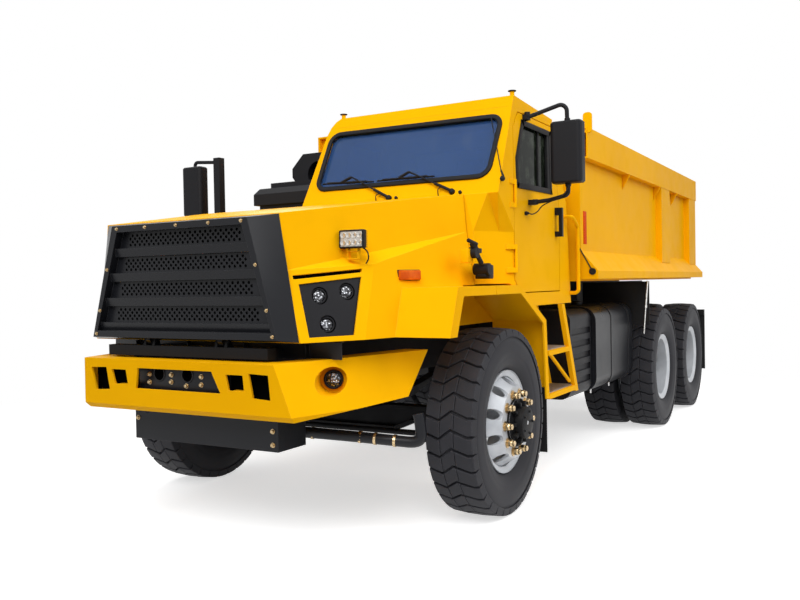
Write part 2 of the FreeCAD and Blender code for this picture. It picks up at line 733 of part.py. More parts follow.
def front_wheel(name, side):
    where = {"y": f"{side} * front_wheel_y", "z": "tyre_radius"}
    rim = new_body(f"{name}_rim", **where)

    def out(text):
        return f"{side} * ({text})"

    barrel = [(out("-rim_half"), "rim_radius"), (out("-rim_half"), "rim_radius - 14"),
              (out("-rim_half + 18"), "barrel_radius - 8"), (out("60"), "barrel_radius - 8"),
              (out("front_bolt_face - 14"), "bolt_face_radius"), (out("front_bolt_face - 14"), "hub_radius"),
              (out("front_bolt_face - 14"), "spindle_radius + 30"), (out("-60"), "spindle_radius + 30"),
              (out("-60"), "spindle_radius + running_gap"), (out("front_bolt_face + 12"), "spindle_radius + running_gap"),
              (out("front_bolt_face + 12"), "0"), (out("front_bolt_face + 72"), "0"),
              (out("front_bolt_face + 72"), "cap_radius - 14"), (out("front_bolt_face + 58"), "cap_radius"),
              (out("front_bolt_face + 14"), "cap_radius"), (out("front_bolt_face + 14"), "hub_radius"),
              (out("front_bolt_face"), "hub_radius"), (out("front_bolt_face"), "bolt_face_radius + 8"),
              (out("84"), "barrel_radius"), (out("rim_half - 18"), "barrel_radius"),
              (out("rim_half - 8"), "rim_radius - 4"), (out("rim_half"), "rim_radius"),
              (out("rim_half - 14"), "rim_radius"), (out("rim_half - 20"), "barrel_radius + 6"),
              (out("-rim_half + 20"), "barrel_radius + 6"), (out("-rim_half + 14"), "rim_radius")]
    revolve(rim, "YZ", "Y", barrel)
    hole = pocket(rim, "XZ", "-rim_half - 80", "rim_half + 80", "hand_hole_radius",
                  round_at=("0", "hand_hole_circle"))
    polar(rim, [hole], "Y", "hand_holes")
    tyre = new_body(f"{name}_tyre", **where)
    revolve(tyre, "YZ", "Y", tyre_outline("0"))


def rear_wheels(name, x, side):
    where = {"x": x, "y": f"{side} * rear_wheel_y", "z": "tyre_radius"}
    rim = new_body(f"{name}_rims", **where)

    profile = [("-dual_half - rim_half", "rim_radius"), ("-dual_half - rim_half", "rim_radius - 14"),
               ("-dual_half - rim_half + 18", "barrel_radius - 8"), ("-70", "barrel_radius - 8"),
               ("-14", "bolt_face_radius"), ("-14", "spindle_radius + 40"), ("-110", "spindle_radius + 40"),
               ("-110", "spindle_radius + running_gap"), ("hub_radius + 6", "spindle_radius + running_gap"),
               ("hub_radius + 6", "0"), ("hub_radius + 30", "0"), ("hub_radius + 30", "cap_radius - 10"),
               ("hub_radius + 18", "cap_radius"), ("60", "cap_radius + 6"), ("60", "hub_radius"),
               ("14", "hub_radius"), ("14", "bolt_face_radius"), ("70", "barrel_radius - 8"),
               ("dual_half + rim_half - 18", "barrel_radius - 8"), ("dual_half + rim_half", "rim_radius - 14"),
               ("dual_half + rim_half", "rim_radius"), ("dual_half + rim_half - 14", "rim_radius"),
               ("dual_half + rim_half - 20", "barrel_radius + 6"), ("dual_half - rim_half + 20", "barrel_radius + 6"),
               ("dual_half - rim_half + 14", "rim_radius"), ("dual_half - rim_half", "rim_radius"),
               ("dual_half - rim_half", "barrel_radius + 4"), ("-dual_half + rim_half", "barrel_radius + 4"),
               ("-dual_half + rim_half", "rim_radius"), ("-dual_half + rim_half - 14", "rim_radius"),
               ("-dual_half + rim_half - 20", "barrel_radius + 6"),
               ("-dual_half - rim_half + 20", "barrel_radius + 6"), ("-dual_half - rim_half + 14", "rim_radius")]
    revolve(rim, "YZ", "Y", [(f"{side} * ({across})", reach) for across, reach in profile])
    hole = pocket(rim, "XZ", "-48", "48", "hand_hole_radius", round_at=("0", "hand_hole_circle - 6"))
    polar(rim, [hole], "Y", "hand_holes")
    tyres = new_body(f"{name}_tyres", **where)
    revolve(tyres, "YZ", "Y", tyre_outline("-dual_half"))
    revolve(tyres, "YZ", "Y", tyre_outline("dual_half"))


# ----------------------------------------------------------------------------------------------
# Tanks and boxes between the axles
# ----------------------------------------------------------------------------------------------
def tanks():
    """Fuel tank on the left and its twin for hydraulic oil on the right, each on two brackets."""
    shell = box(("-2830", "-1755"), ("620", "1225"), ("500", "1150"))
    lengthwise = [line for line in shell.Edges if abs(line.tangentAt(line.FirstParameter).x) > 0.9]
    outer = [line for line in lengthwise if line.CenterOfMass.y > 1000]
    shell = shell.makeFillet(110, outer)
    pieces = [shell]
    for rear in ("-2560", "-2000"):
        pieces.append(box((rear, f"{rear} + 70"), ("rail_side + 10", "621"), ("820", "900")))
        pieces.append(box((f"{rear} - 20", f"{rear} + 90"), ("rail_side", "rail_side + 22"), ("800", "1000")))
    feature("side_tanks", Part.Compound(both_sides(join(pieces))))


def side_boxes():
    """Battery box and filter housing behind the cab, each with a ribbed and rounded outer side."""
    inner = box(("-1740", "-1250"), ("rail_side + 50", "860"), ("640", "1140"))
    outer = box(("-1740", "-1250"), ("859", "1190"), ("500", "1140"))
    rim = [line for line in outer.Edges if line.CenterOfMass.y > 1180 and abs(line.CenterOfMass.z - 820) > 300]
    outer = outer.makeFillet(80, rim)
    mount = box(("-1680", "-1300"), ("rail_side", "rail_side + 51"), ("820", "1000"))
    shape = join([inner, outer, mount])
    for low in (600, 690, 780, 870, 960):
        shape = shape.cut(Part.makeBox(450, 30, 45, Vector(-1720, 1176, low)))
    feature("side_boxes", Part.Compound(both_sides(shape)))


def air_tanks():
    """Brake air vessels hung below the side boxes on two feet each."""
    vessel = join([rod((-1640, 720, 540), (-1260, 720, 540), 80),
                   Part.makeBox(30, 80, 40, Vector(-1560, 680, 599.7)),
                   Part.makeBox(30, 80, 40, Vector(-1370, 680, 599.7))])
    feature("air_tanks", Part.Compound(both_sides(vessel)))


# ----------------------------------------------------------------------------------------------
# Wheel arches, steps and mudflaps
# ----------------------------------------------------------------------------------------------
ARCH_LINE = [("arch_split - gap", "arch_top"), ("-arch_slope_start", "arch_top"),
             ("-arch_slope_end", "arch_slope_low"), ("-arch_tail", "arch_tail_low")]


def fenders():
    body = new_body("front_fenders")
    inner_line = [("-arch_tail + arch_sheet", "arch_tail_low"),
                  ("-arch_slope_end + arch_sheet", "arch_slope_low - 5"),
                  ("-arch_slope_start - 3", "arch_top - arch_sheet"),
                  ("arch_split - gap", "arch_top - arch_sheet")]
    lip_line = [("-arch_tail + arch_lip", "arch_tail_low"), ("-arch_slope_end + arch_lip", "arch_slope_low - 20"),
                ("-arch_slope_start - 14", "arch_top - arch_lip"), ("arch_split - gap", "arch_top - arch_lip")]
    sheet_pad = pad(body, "XZ", "arch_inner", "arch_outer", ARCH_LINE + inner_line)
    lip = pad(body, "XZ", "arch_outer - arch_sheet", "arch_outer", ARCH_LINE + lip_line)
    wall = pad(body, "XZ", "arch_inner", "arch_inner + arch_sheet",
               [*ARCH_LINE[:3], ("-arch_slope_end", "1095"), ("arch_split - gap", "1095")])
    mirror(body, [sheet_pad, lip, wall])


def steps():
    body = new_body("cab_steps")
    leg = pad(body, "XZ", "arch_outer - 30", "arch_outer",
              [("-905", "cab_low"), ("-960", "cab_low"), ("-1235", "580"), ("-1180", "580")])
    back_leg = pad(body, "XZ", "1040", "1060",
                   [("-905", "cab_low"), ("-960", "cab_low"), ("-1235", "580"), ("-1180", "580")])
    treads = [pad(body, "XZ", "1040", "arch_outer",
                  [("-arch_tail", low), (rear, low), (rear, f"{low} + 32"), ("-arch_tail", f"{low} + 32")])
              for low, rear in (("872", "-1075"), ("590", "-1205"))]
    mirror(body, [leg, back_leg, *treads])


def mudflaps():
    """Rubber flaps: the front pair hangs on the arches' tails, the rear pair on arms of the frame."""
    shapes = []
    thick = 10
    foot = -size("arch_tail - arch_sheet - seat_gap")
    hold = 70
    lean = hold * size("(arch_tail - arch_slope_end) / (arch_slope_low - 5 - arch_tail_low)")
    tail = size("arch_tail_low")
    line = [(foot, tail), (foot + lean, tail + hold), (foot + lean + thick, tail + hold),
            (foot + thick, tail), (foot + thick, 250), (foot, 250)]
    low_y, high_y = 960, size("arch_outer - arch_sheet - 3")
    front = panel([(x, low_y, z) for x, z in line], (0, high_y - low_y, 0))
    arm_x = ("-rear_end + 12", "-rear_end + 48")
    rear = join([box(("-rear_end", "-rear_end + 12"), ("750", "bed_half + apron_out"), ("330", "1000")),
                 box(arm_x, ("rail_side + 6", "bed_half + apron_out"), ("940", "985")),
                 box(("-rear_end + 12", "-rail_rear - tow_plate"), ("rail_side - 50", "rail_side + 6"), ("900", "990"))])
    shapes = [*both_sides(front), *both_sides(rear)]
    feature("mudflaps", Part.Compound(shapes))


def cab_brackets():
    """Posts on the frame's top flanges that carry the cab, the right-hand deck and the arches."""
    inner, outer = "rail_side - 50", "rail_side"
    posts = []
    for side in (LEFT, RIGHT):
        across = (f"{side} * ({inner})", f"{side} * ({outer} + 30)")
        posts.append(box(("-cab_rear", "-cab_rear + 80"), across, ("rail_high", "cab_low")))
        arm = box(("-340", "-260"), (f"{side} * ({outer})", f"{side} * arch_inner"), ("1110", "1150"))
        stand = box(("-340", "-260"), (f"{side} * ({inner})", f"{side} * ({outer} + 1)"), ("rail_high", "1150"))
        posts.append(arm.fuse(stand))
    posts.append(box(("-80", "0"), (inner, f"{outer} + 30"), ("rail_high", "seam_low")))
    feature("cab_brackets", Part.Compound([post.removeSplitter() for post in posts]))


# ----------------------------------------------------------------------------------------------
# Cab
# ----------------------------------------------------------------------------------------------
CAB_UNDER = [("cab_corner_x", "seam_low"), ("-arch_slope_start - 5", "seam_low"), ("-450", "cab_low"),
             ("-cab_rear", "cab_low")]
CAB_ROOF_FRONT = ("-cab_roof_front + (cab_top - roof_low) * (cab_waist_x + cab_roof_front)"
                  " / (cab_top - cab_waist)")
CAB_OVER = [("-cab_kick_x", "cab_kick"), ("-cab_roof_rear", "roof_low"), (CAB_ROOF_FRONT, "roof_low"),
            ("cab_waist_x", "cab_waist"), ("cab_corner_x", "cab_waist - 8")]
# upright section across the cab: the right wall leans in above the waist and rounds over into the roof
CAB_SECTION = [("-cab_right", "cab_low - 10"), ("-cab_right", "cab_waist"),
               ("-cab_right + cab_shoulder", "cab_shoulder_z"), ("-cab_right + cab_shoulder + 21", "cab_top - 60"),
               ("-cab_right + cab_shoulder + 51", "cab_top - 22"), ("-cab_right + cab_shoulder + 88", "cab_top + 1"),
               ("cab_left", "cab_top + 1"), ("cab_left", "cab_low - 10")]
CAB_INSIDE = [("-cab_right + cab_wall", "cab_low"), ("-cab_right + cab_wall", "cab_waist"),
              ("-cab_right + cab_wall + cab_shoulder", "cab_shoulder_z"),
              ("-cab_right + cab_wall + cab_shoulder + 13", "roof_low + 2"),
              ("cab_left - cab_wall", "roof_low + 2"), ("cab_left - cab_wall", "cab_low")]
WINDSHIELD = [("-cab_right + 128", "cab_waist + 102"), ("cab_left - 123", "cab_waist + 102"),
              ("cab_left - 80", "cab_waist + 142"), ("cab_left - 54", "roof_low - 90"),
              ("cab_left - 91", "roof_low - 50"), ("-cab_right + 163", "roof_low - 50"),
              ("-cab_right + 119", "roof_low - 90"), ("-cab_right + 92", "cab_waist + 142")]
REAR_WINDOW = [("130", "1930"), ("960", "1930"), ("960", "2300"), ("130", "2300")]
SIDE_WINDOW = [("-320", "1960"), ("-900", "1960"), ("-800", "2330"), ("-420", "2330")]


def cab_corner():
    """Wedge outside the folded front corner: one fold low down, opening to a square corner at the waist."""
    front, side, back = size("cab_corner_x"), size("cab_left"), -size("door_front")
    low, fold, top = size("cab_low - 10"), size("cab_fold"), size("cab_waist + 5")
    foot = size("cab_corner_y")
    kink_x = back + 116
    kink = (kink_x, side - 116 * (side - foot) / (front - back), fold)
    near, rear = (front, foot, fold), (back, side, fold)
    high_near, high_kink, high_rear = (front, foot - 57, top), (45, side - 58, top), (37, side, top)
    corner, high_corner = (front, side, fold), (front, side, top)
    lower = panel([(front, foot, low), (back, side, low), (front, side, low)], (0, 0, fold - low))
    upper = solid_of([[near, kink, high_kink], [near, high_kink, high_near], [kink, high_rear, high_kink],
                      [kink, rear, high_rear], [near, kink, rear, corner],
                      [high_near, high_kink, high_rear, high_corner],
                      [near, high_near, high_corner, corner], [rear, corner, high_corner, high_rear]])
    return lower.fuse(upper)


def cab():
    wedge = cab_corner()
    shape = prism("XZ", "-cab_right - 5", "cab_left", CAB_UNDER + CAB_OVER)
    shape = shape.common(prism("YZ", "-cab_rear - 5", "cab_corner_x + 5", CAB_SECTION)).cut(wedge)
    inside = prism("XZ", "-cab_right", "cab_left",
                   [("cab_corner_x - cab_wall", "seam_low + 40"), ("-arch_slope_start - 20", "seam_low + 40"),
                    ("-450", "cab_low + 40"), ("-cab_rear + cab_wall", "cab_low + 40"),
                    ("-cab_kick_x + cab_wall", "cab_kick"), ("-cab_roof_rear + cab_wall", "roof_low + 1"),
                    (f"{CAB_ROOF_FRONT} - 54", "roof_low + 1"), ("cab_waist_x - 56", "cab_waist"),
                    ("cab_corner_x - cab_wall", "cab_waist - 40")])
    inside = inside.common(prism("YZ", "-cab_rear", "cab_corner_x", CAB_INSIDE))
    inner_wedge = wedge.copy()
    inner_wedge.translate(Vector(-40, -size("cab_wall"), 0))
    shape = shape.cut(inside.cut(inner_wedge))
    doorway = [("-door_front + gap", "door_low + 75 - 0.41 * gap"),
               ("-door_front - 75 + 0.41 * gap", "door_low - gap"), ("-door_rear - gap", "door_low - gap"),
               ("-door_rear - gap", "cab_kick"), ("-door_rear + 140 - 0.75 * gap", "door_top + gap"),
               ("-door_front - 80 + gap", "door_top + gap"), ("-door_front + gap", "2290")]
    shape = shape.cut(prism("XZ", "cab_left - cab_wall - 1", "cab_left + 1", doorway))
    shape = shape.cut(prism("YZ", "-420", "cab_corner_x", WINDSHIELD))
    shape = shape.cut(prism("YZ", "-cab_rear", "-cab_roof_rear + 20", REAR_WINDOW))
    shape = shape.cut(prism("XZ", "-cab_right - 1", "-cab_right + cab_shoulder + cab_wall + 10", SIDE_WINDOW))
    # the cab's side of each door hinge: a leaf that follows the wall, with a knuckle on the hinge line
    folded = [("-door_front + 2", "cab_left + 17"), ("-door_front + 2", "cab_left + 3"),
              ("-door_front + 14", "cab_left - 12"), ("-door_front + 70", "cab_left - 38"),
              ("-door_front + 70", "cab_left - 20")]
    flat = [("-door_front + 2", "cab_left + 17"), ("-door_front + 2", "cab_left + 3"),
            ("-door_front + 12", "cab_left - 2"), ("-door_front + 70", "cab_left - 2"),
            ("-door_front + 70", "cab_left + 6"), ("-door_front + 14", "cab_left + 8")]
    for low, leaf in (("door_hinge_low", folded), ("door_hinge_high", flat)):
        for bottom in (f"{low} - 30 - seat_gap", f"{low} + door_hinge_length + seat_gap"):
            knuckle = rod((-size("door_front - 2"), size("cab_left + door_hinge_out"), size(bottom)),
                          (-size("door_front - 2"), size("cab_left + door_hinge_out"), size(bottom) + 30),
                          size("door_hinge_radius"))
            shape = shape.fuse(prism("XY", bottom, f"{bottom} + 30", leaf)).fuse(knuckle)
    feature("cab_shell", shape.removeSplitter())


def cab_roof():
    roof = prism("XZ", "-cab_right", "cab_left",
                 [(CAB_ROOF_FRONT, "roof_low"), ("-cab_roof_rear", "roof_low"),
                  ("-cab_roof_rear - 8", "cab_rear_top"), ("-cab_roof_front", "cab_top")])
    roof = roof.common(prism("YZ", "-cab_rear", "cab_corner_x", CAB_SECTION))
    x, top = -size("cab_roof_front") - 24, size("cab_top")
    knobs = [rod((x, y, top - 40), (x, y, top + 28), 14) for y in (-44, size("cab_left") - 20)]
    feature("cab_roof", join([roof, *knobs]))


def drawn_in(outline, play):
    """Outline in numbers, each corner moved towards the middle so that the pane fits its opening."""
    points = [(size(across), size(along)) for across, along in outline]
    middle_a = sum(a for a, b in points) / len(points)
    middle_b = sum(b for a, b in points) / len(points)
    return [(a - math.copysign(play, a - middle_a), b - math.copysign(play, b - middle_b)) for a, b in points]


def cab_glass():
    """Windshield, rear and right-hand panes, each in the middle of its wall."""
    play, glass = size("seat_gap"), size("glass")
    lean = size("(cab_waist_x + cab_roof_front) / (cab_top - cab_waist)")

    def screen_x(z):
        return size("cab_waist_x") - (z - size("cab_waist")) * lean - 18

    screen = panel([(screen_x(z), y, z) for y, z in drawn_in(WINDSHIELD, play)], (-glass, 0, 0))
    slope = size("(cab_kick_x - cab_roof_rear) / (roof_low - cab_kick)")

    def back_x(z):
        return -size("cab_kick_x") + (z - size("cab_kick")) * slope + 20

    rear = panel([(back_x(z), y, z) for y, z in drawn_in(REAR_WINDOW, play)], (glass, 0, 0))
    slant = size("cab_shoulder / (cab_shoulder_z - cab_waist)")

    def side_y(z):
        return -size("cab_right") + (z - size("cab_waist")) * slant + 20

    side = panel([(x, side_y(z), z) for x, z in drawn_in(SIDE_WINDOW, play)], (0, glass, 0))
    feature("cab_glass", Part.Compound([screen, rear, side]))


def cab_interior():
    floor = "seam_low + 40"
    column_foot, column_top = Vector(-150, 600, 1740), Vector(-300, 600, 1860)
    column = (column_top - column_foot).normalize()
    desk = join([box(("-cab_wall + 20", "-190"), ("-cab_right + cab_wall", "cab_left - cab_wall - 150"),
                     ("1700", "1830")),
                 panel([(-185, 480, 1700), (-185, 480, 1810), (-260, 480, 1790), (-260, 480, 1690)], (0, 240, 0)),
                 box(("-30", "38"), ("-cab_right + cab_wall", "cab_left - cab_wall - 150"), (floor, "1702")),
                 rod(column_foot, column_top, 26)])
    feature("dashboard", desk)
    wheel = Part.makeTorus(190, 16, Vector(0, 0, 0), Vector(0, 0, 1))
    hub = Part.makeCylinder(42, 40, Vector(0, 0, -26))
    spokes = [Part.makeCylinder(11, 180, Vector(0, 0, 0), Vector(math.cos(a), math.sin(a), 0))
              for a in (math.radians(angle) for angle in (0, 120, 240))]
    shape = join([wheel, hub, *spokes])
    tilt = Rotation(Vector(0, 0, 1), column)
    shape.Placement = Placement(column_top + column * 27, tilt)
    feature("steering_wheel", Part.Compound([shape]))
    body = new_body("seat")
    pad(body, "XZ", "360", "840", [("-450", "1600"), ("-890", "1570"), ("-890", "1680"), ("-450", "1715")])
    pad(body, "XZ", "370", "830", [("-800", "1660"), ("-890", "1660"), ("-940", "2090"), ("-860", "2110")])
    pad(body, "XZ", "480", "720", [("-862", "2090"), ("-938", "2090"), ("-922", "2225"), ("-868", "2235")])
    pad(body, "XZ", "430", "770", [("-490", "cab_low + 40"), ("-870", "cab_low + 40"),
                                   ("-830", "1590"), ("-530", "1610")])


def right_deck():
    """Enclosure beside the cab, a mirror image of the cab's lower side, with its deck on top."""
    body = new_body("right_deck")
    top = "deck_top"
    pad(body, "XZ", "-deck_outer", "-cab_right",
        [*CAB_UNDER, ("-cab_rear + 10", top), ("cab_corner_x", top)])
    pocket(body, "XZ", "-deck_outer + 14", "-cab_right + 1",
           [("cab_corner_x - 14", "seam_low - 5"), ("-arch_slope_start - 5", "seam_low - 5"), ("-450", "cab_low - 5"),
            ("-cab_rear + 14", "cab_low - 5"), ("-cab_rear + 24", f"{top} - 14"), ("cab_corner_x - 14", f"{top} - 14")])
    pocket(body, "XY", "cab_low - 5", "deck_top + 5",
           [("-door_front + 5", "-deck_outer"), ("cab_corner_x", "-cab_corner_y"), ("cab_corner_x + 5", "-cab_corner_y"),
            ("cab_corner_x + 5", "-deck_outer - 5"), ("-door_front + 5", "-deck_outer - 5")])


def deck_boxes():
    """Air intake housing on the right-hand deck: a low stepped box and an eight-sided one behind it."""
    side = -size("cab_right") - 30
    body = box(("-740", "-240"), ("-777", f"{side} - 10"), ("deck_top", "1937"))
    tray = box(("-760", "-210"), ("-807", f"{side}"), ("1936", "2015"))
    slope = frustum([(-760, -807, 2015), (-210, -807, 2015), (-210, side, 2015), (-760, side, 2015)],
                    [(-745, -790, 2060), (-260, -790, 2060), (-260, side - 15, 2060), (-745, side - 15, 2060)])
    step = box(("-730", "-300"), ("-720", f"{side} - 30"), ("2059", "2100"))
    low = join([body, tray, slope, step])
    outline = [("-826", "2190"), ("-826", "2257"), ("-722", "2362"), ("-404", "2362"), ("-300", "2257"),
               ("-300", "2190"), ("-366", "2106"), ("-760", "2106")]
    upper = prism("YZ", "-1080", "-700", outline).cut(rod((-690, -579, 2199), (-900, -579, 2199), 100))
    leg = box(("-1060", "-780"), ("-640", "-320"), ("deck_top", "2110"))
    feature("deck_boxes", Part.Compound([low, upper.fuse(leg)]))


def rails_and_mirrors():
    side = size("cab_left")
    out = side + 62
    feature("grab_rail", tube([(-1110, side, 1800), (-1110, out, 1800), (-1232, out, 1735), (-1232, out, 1268),
                               (-1232, side, 1268)], 13, 30))
    reach = size("mirror_reach")
    post_y = -1222
    post = box(("-340", "-282"), (str(post_y - 29), str(post_y + 29)), ("1660", "2330"))
    foot = box(("-350", "-272"), ("-1194", "-deck_outer"), ("1650", "1840"))
    arm = tube([(-311, post_y - 20, 2300), (-311, -1462, 2318), (-311, -1462, 2262)], 13, 26)
    head = box(("-362", "-262"), (str(-reach), "-1370"), ("1905", "2280"))
    head = rounded(head, 28, 10)
    feature("mirror_right", join([post, foot, arm, head]))


# ----------------------------------------------------------------------------------------------
# Door and what it carries
# ----------------------------------------------------------------------------------------------
def door():
    body = new_body("door_panel")
    inner = "cab_left - cab_wall + 2"
    pad(body, "XZ", inner, "cab_left",
        [("-door_front", "door_low + 75"), ("-door_front - 75", "door_low"), ("-door_rear", "door_low"),
         ("-door_rear", "cab_kick"), ("-door_rear + 140", "door_top"), ("-door_front - 80", "door_top"),
         ("-door_front", "2285")])
    pocket(body, "XZ", f"{inner} - 1", "cab_left + 1", WINDOW)
    pocket(body, "XZ", f"{inner} - 1", "cab_left - 16",
           [("-door_front - 70", "door_low + 80"), ("-door_rear + 60", "door_low + 80"),
            ("-door_rear + 60", "1850"), ("-door_front - 70", "1850")])
    for low in ("door_hinge_low", "door_hinge_high"):
        high = f"{low} + door_hinge_length"
        pad(body, "XY", low, high, [("-door_front - 52", "cab_left - 1"), ("-door_front", "cab_left - 1"),
                                    ("-door_front + 2", "cab_left + 5"), ("-door_front - 52", "cab_left + 5")])
        pad(body, "XY", low, high, "door_hinge_radius", round_at=("-door_front + 2", "cab_left + door_hinge_out"))


WINDOW = [("-250", "1925"), ("-870", "1935"), ("-850", "2350"), ("-345", "2350"), ("-238", "2105")]
PANE = [(-250.4, 1925.4), (-869.6, 1935.4), (-849.6, 2349.6), (-345.4, 2349.6), (-238.5, 2105)]


def door_fittings():
    y = size("cab_left") - 26
    pane = panel([(x, y, z) for x, z in PANE], (0, size("glass"), 0))
    feature("door_window", pane)
    out = size("cab_left")
    handle = join([box(("-968", "-930"), ("cab_left", "cab_left + 30"), ("1800", "1850")),
                   box(("-968", "-930"), ("cab_left", "cab_left + 30"), ("1655", "1690")),
                   box(("-968", "-938"), ("cab_left + 26", "cab_left + 48"), ("1655", "1850"))])
    feature("door_handle", handle)
    reach = size("mirror_reach")
    middle = (reach + 1362) / 2
    clamp_high = box(("-415", "-365"), ("cab_left", "cab_left + 34"), ("door_top - 33", "door_top - 1"))
    clamp_low = box(("-500", "-440"), ("cab_left", "cab_left + 34"), ("1835", "1865"))
    upper = tube([(-395, out + 20, size("door_top") - 16), (-430, middle, 2440), (-440, middle, 2310)], 13, 40)
    lower = tube([(-470, out + 20, 1850), (-470, out + 130, 1858), (-440, middle, 1880), (-440, middle, 1970)], 13, 30)
    head = box(("-490", "-390"), ("1362", str(reach)), ("1950", "2325"))
    head = rounded(head, 28, 10)
    feature("mirror_left", join([clamp_high, clamp_low, upper, lower, head]))


# ----------------------------------------------------------------------------------------------
# Nose
# ----------------------------------------------------------------------------------------------
def nose_points(inset, side, through=0):
    """Corners of one half of the nose; an inset draws them in, and through runs past its open ends."""
    front, rear = size("nose_front") + through, size("nose_rear") - through
    drop = inset
    top_front = (front, size("nose_front_top_half") - inset, size("nose_front_top") - drop)
    top_rear = (rear, size("nose_rear_top_half") - inset, size("nose_rear_top") - drop)
    crease_front = (front, size("crease_front_half") - inset, size("crease_front") - drop)
    crease_rear = on_plane(top_front, top_rear, crease_front, rear, size("crease_rear") - drop)
    cheek = (size("cheek_x") - inset * 0.3, size("cheek_half") - inset, size("cheek_top") - drop)
    cheek_low = (size("cheek_low_x") - inset * 0.3, size("cheek_low_half") - inset, size("nose_low") - through)
    front_low = on_plane(crease_front, cheek, cheek_low, front, size("nose_low") - through)
    rear_low = on_plane(cheek, crease_rear, cheek_low, rear, size("nose_low") - through)
    points = (top_front, top_rear, crease_front, crease_rear, cheek, cheek_low, front_low, rear_low)
    return [(x, side * y, z) for x, y, z in points]


def nose_half(inset, side, through=0):
    top_front, top_rear, crease_front, crease_rear, cheek, cheek_low, front_low, rear_low = \
        nose_points(inset, side, through)

    def middle(point, z=None):
        return (point[0], 0, point[2] if z is None else z)

    low = front_low[2]
    return solid_of([
        [top_front, top_rear, crease_rear, crease_front],
        [crease_front, crease_rear, cheek],
        [crease_front, cheek, cheek_low, front_low],
        [cheek, crease_rear, rear_low, cheek_low],
        [top_front, top_rear, middle(top_rear), middle(top_front)],
        [front_low, cheek_low, rear_low, middle(rear_low), middle(front_low)],
        [top_front, crease_front, front_low, middle(front_low), middle(top_front)],
        [top_rear, crease_rear, rear_low, middle(rear_low), middle(top_rear)],
        [middle(top_front), middle(top_rear), middle(rear_low, low), middle(front_low, low)],
    ])


def nose_hollow(skin, side):
    """Inner space of one half of the nose, run out through its open front, rear and underside."""
    top_front, top_rear, crease_front, crease_rear, cheek, cheek_low, front_low, rear_low = nose_points(skin, side)

    def middle(point):
        return (point[0], 0, point[2])

    front = [top_front, crease_front, front_low, middle(front_low), middle(top_front)]
    rear = [top_rear, crease_rear, rear_low, middle(rear_low), middle(top_rear)]
    under = [front_low, cheek_low, rear_low, middle(rear_low), middle(front_low)]
    return [nose_half(skin, side), panel(front, (60, 0, 0)), panel(rear, (-60, 0, 0)), panel(under, (0, 0, -60))]


def lamp_corners(side):
    """Corners of the black lamp panel within the folded front face of the cheek."""
    points = nose_points(0, side)
    crease_front, cheek, cheek_low, front_low = (Vector(*points[i]) for i in (2, 4, 5, 6))

    def at(across, down):
        upper = crease_front + (cheek - crease_front) * across
        lower = front_low + (cheek_low - front_low) * across
        return upper + (lower - upper) * down

    return at


def hood():
    skin = size("nose_skin")
    halves = [nose_half(0, side) for side in (LEFT, RIGHT)]
    shell = join(halves)
    hollow = join([solid for side in (LEFT, RIGHT) for solid in nose_hollow(skin, side)])
    shell = shell.cut(hollow)
    pieces = []
    for side in (LEFT, RIGHT):
        lip = size("arch_outer")
        inner = size("arch_inner") - 4
        top, low = size("arch_top"), size("nose_low")
        front, front_low, back = size("arch_front"), size("arch_front_low"), size("arch_split")
        sheet = size("arch_sheet")
        # the rear lower corner stops above the fixed wheel arch, and the wheel's space is open
        shell = shell.cut(box(("nose_rear - 5", "arch_split"), (f"{side} * 700", f"{side} * 1300"),
                              ("nose_low - 5", "seam_low - 5")))
        space = [(back - 5, top - 1), (front - 1, top - 1), (front_low, low - 5), (back - 5, low - 5)]
        shell = shell.cut(panel([(x, side * (inner + 1), z) for x, z in space], (0, side * 500, 0)))
        roof_line = [(front, top), (front_low, low), (front_low - sheet, low), (front - sheet, top - sheet),
                     (back, top - sheet), (back, top)]
        lip_line = [(front, top), (front_low, low), (front_low - 80, low), (front - 66, top - size("arch_lip")),
                    (back, top - size("arch_lip")), (back, top)]
        wall_line = [(front, top), (front_low, low), (back, low), (back, top)]
        pieces.append(panel([(x, side * inner, z) for x, z in roof_line], (0, side * (lip - inner), 0)))
        pieces.append(panel([(x, side * (lip - sheet), z) for x, z in lip_line], (0, side * sheet, 0)))
        pieces.append(panel([(x, side * inner, z) for x, z in wall_line], (0, side * sheet, 0)))
    pieces.insert(0, shell)
    rim_low = [box(("nose_front - 60", "nose_front"), ("-front_low_half", "front_low_half"), ("nose_low", "nose_low + 16"))]
    pieces += rim_low
    shape = join(pieces)
    for side in (LEFT, RIGHT):
        at = lamp_corners(side)
        inward = (at(1, 0) - at(0, 0)).cross(at(0, 1) - at(0, 0)).normalize() * side
        window = [at(a, d) for a, d in ((0.12, 0.2), (0.86, 0.16), (0.82, 0.93), (0.14, 0.93))]
        start = [tuple(p - inward * 40) for p in window]
        shape = shape.cut(panel(start, tuple(inward * 90)))
        slot = [at(a, d) for a, d in ((0.07, 0.075), (0.86, 0.05), (0.86, 0.1), (0.07, 0.13))]
        start = [tuple(p - inward * 40) for p in slot]
        shape = shape.cut(panel(start, tuple(inward * 60)))
    feature("hood_shell", shape.removeSplitter())
    return shape


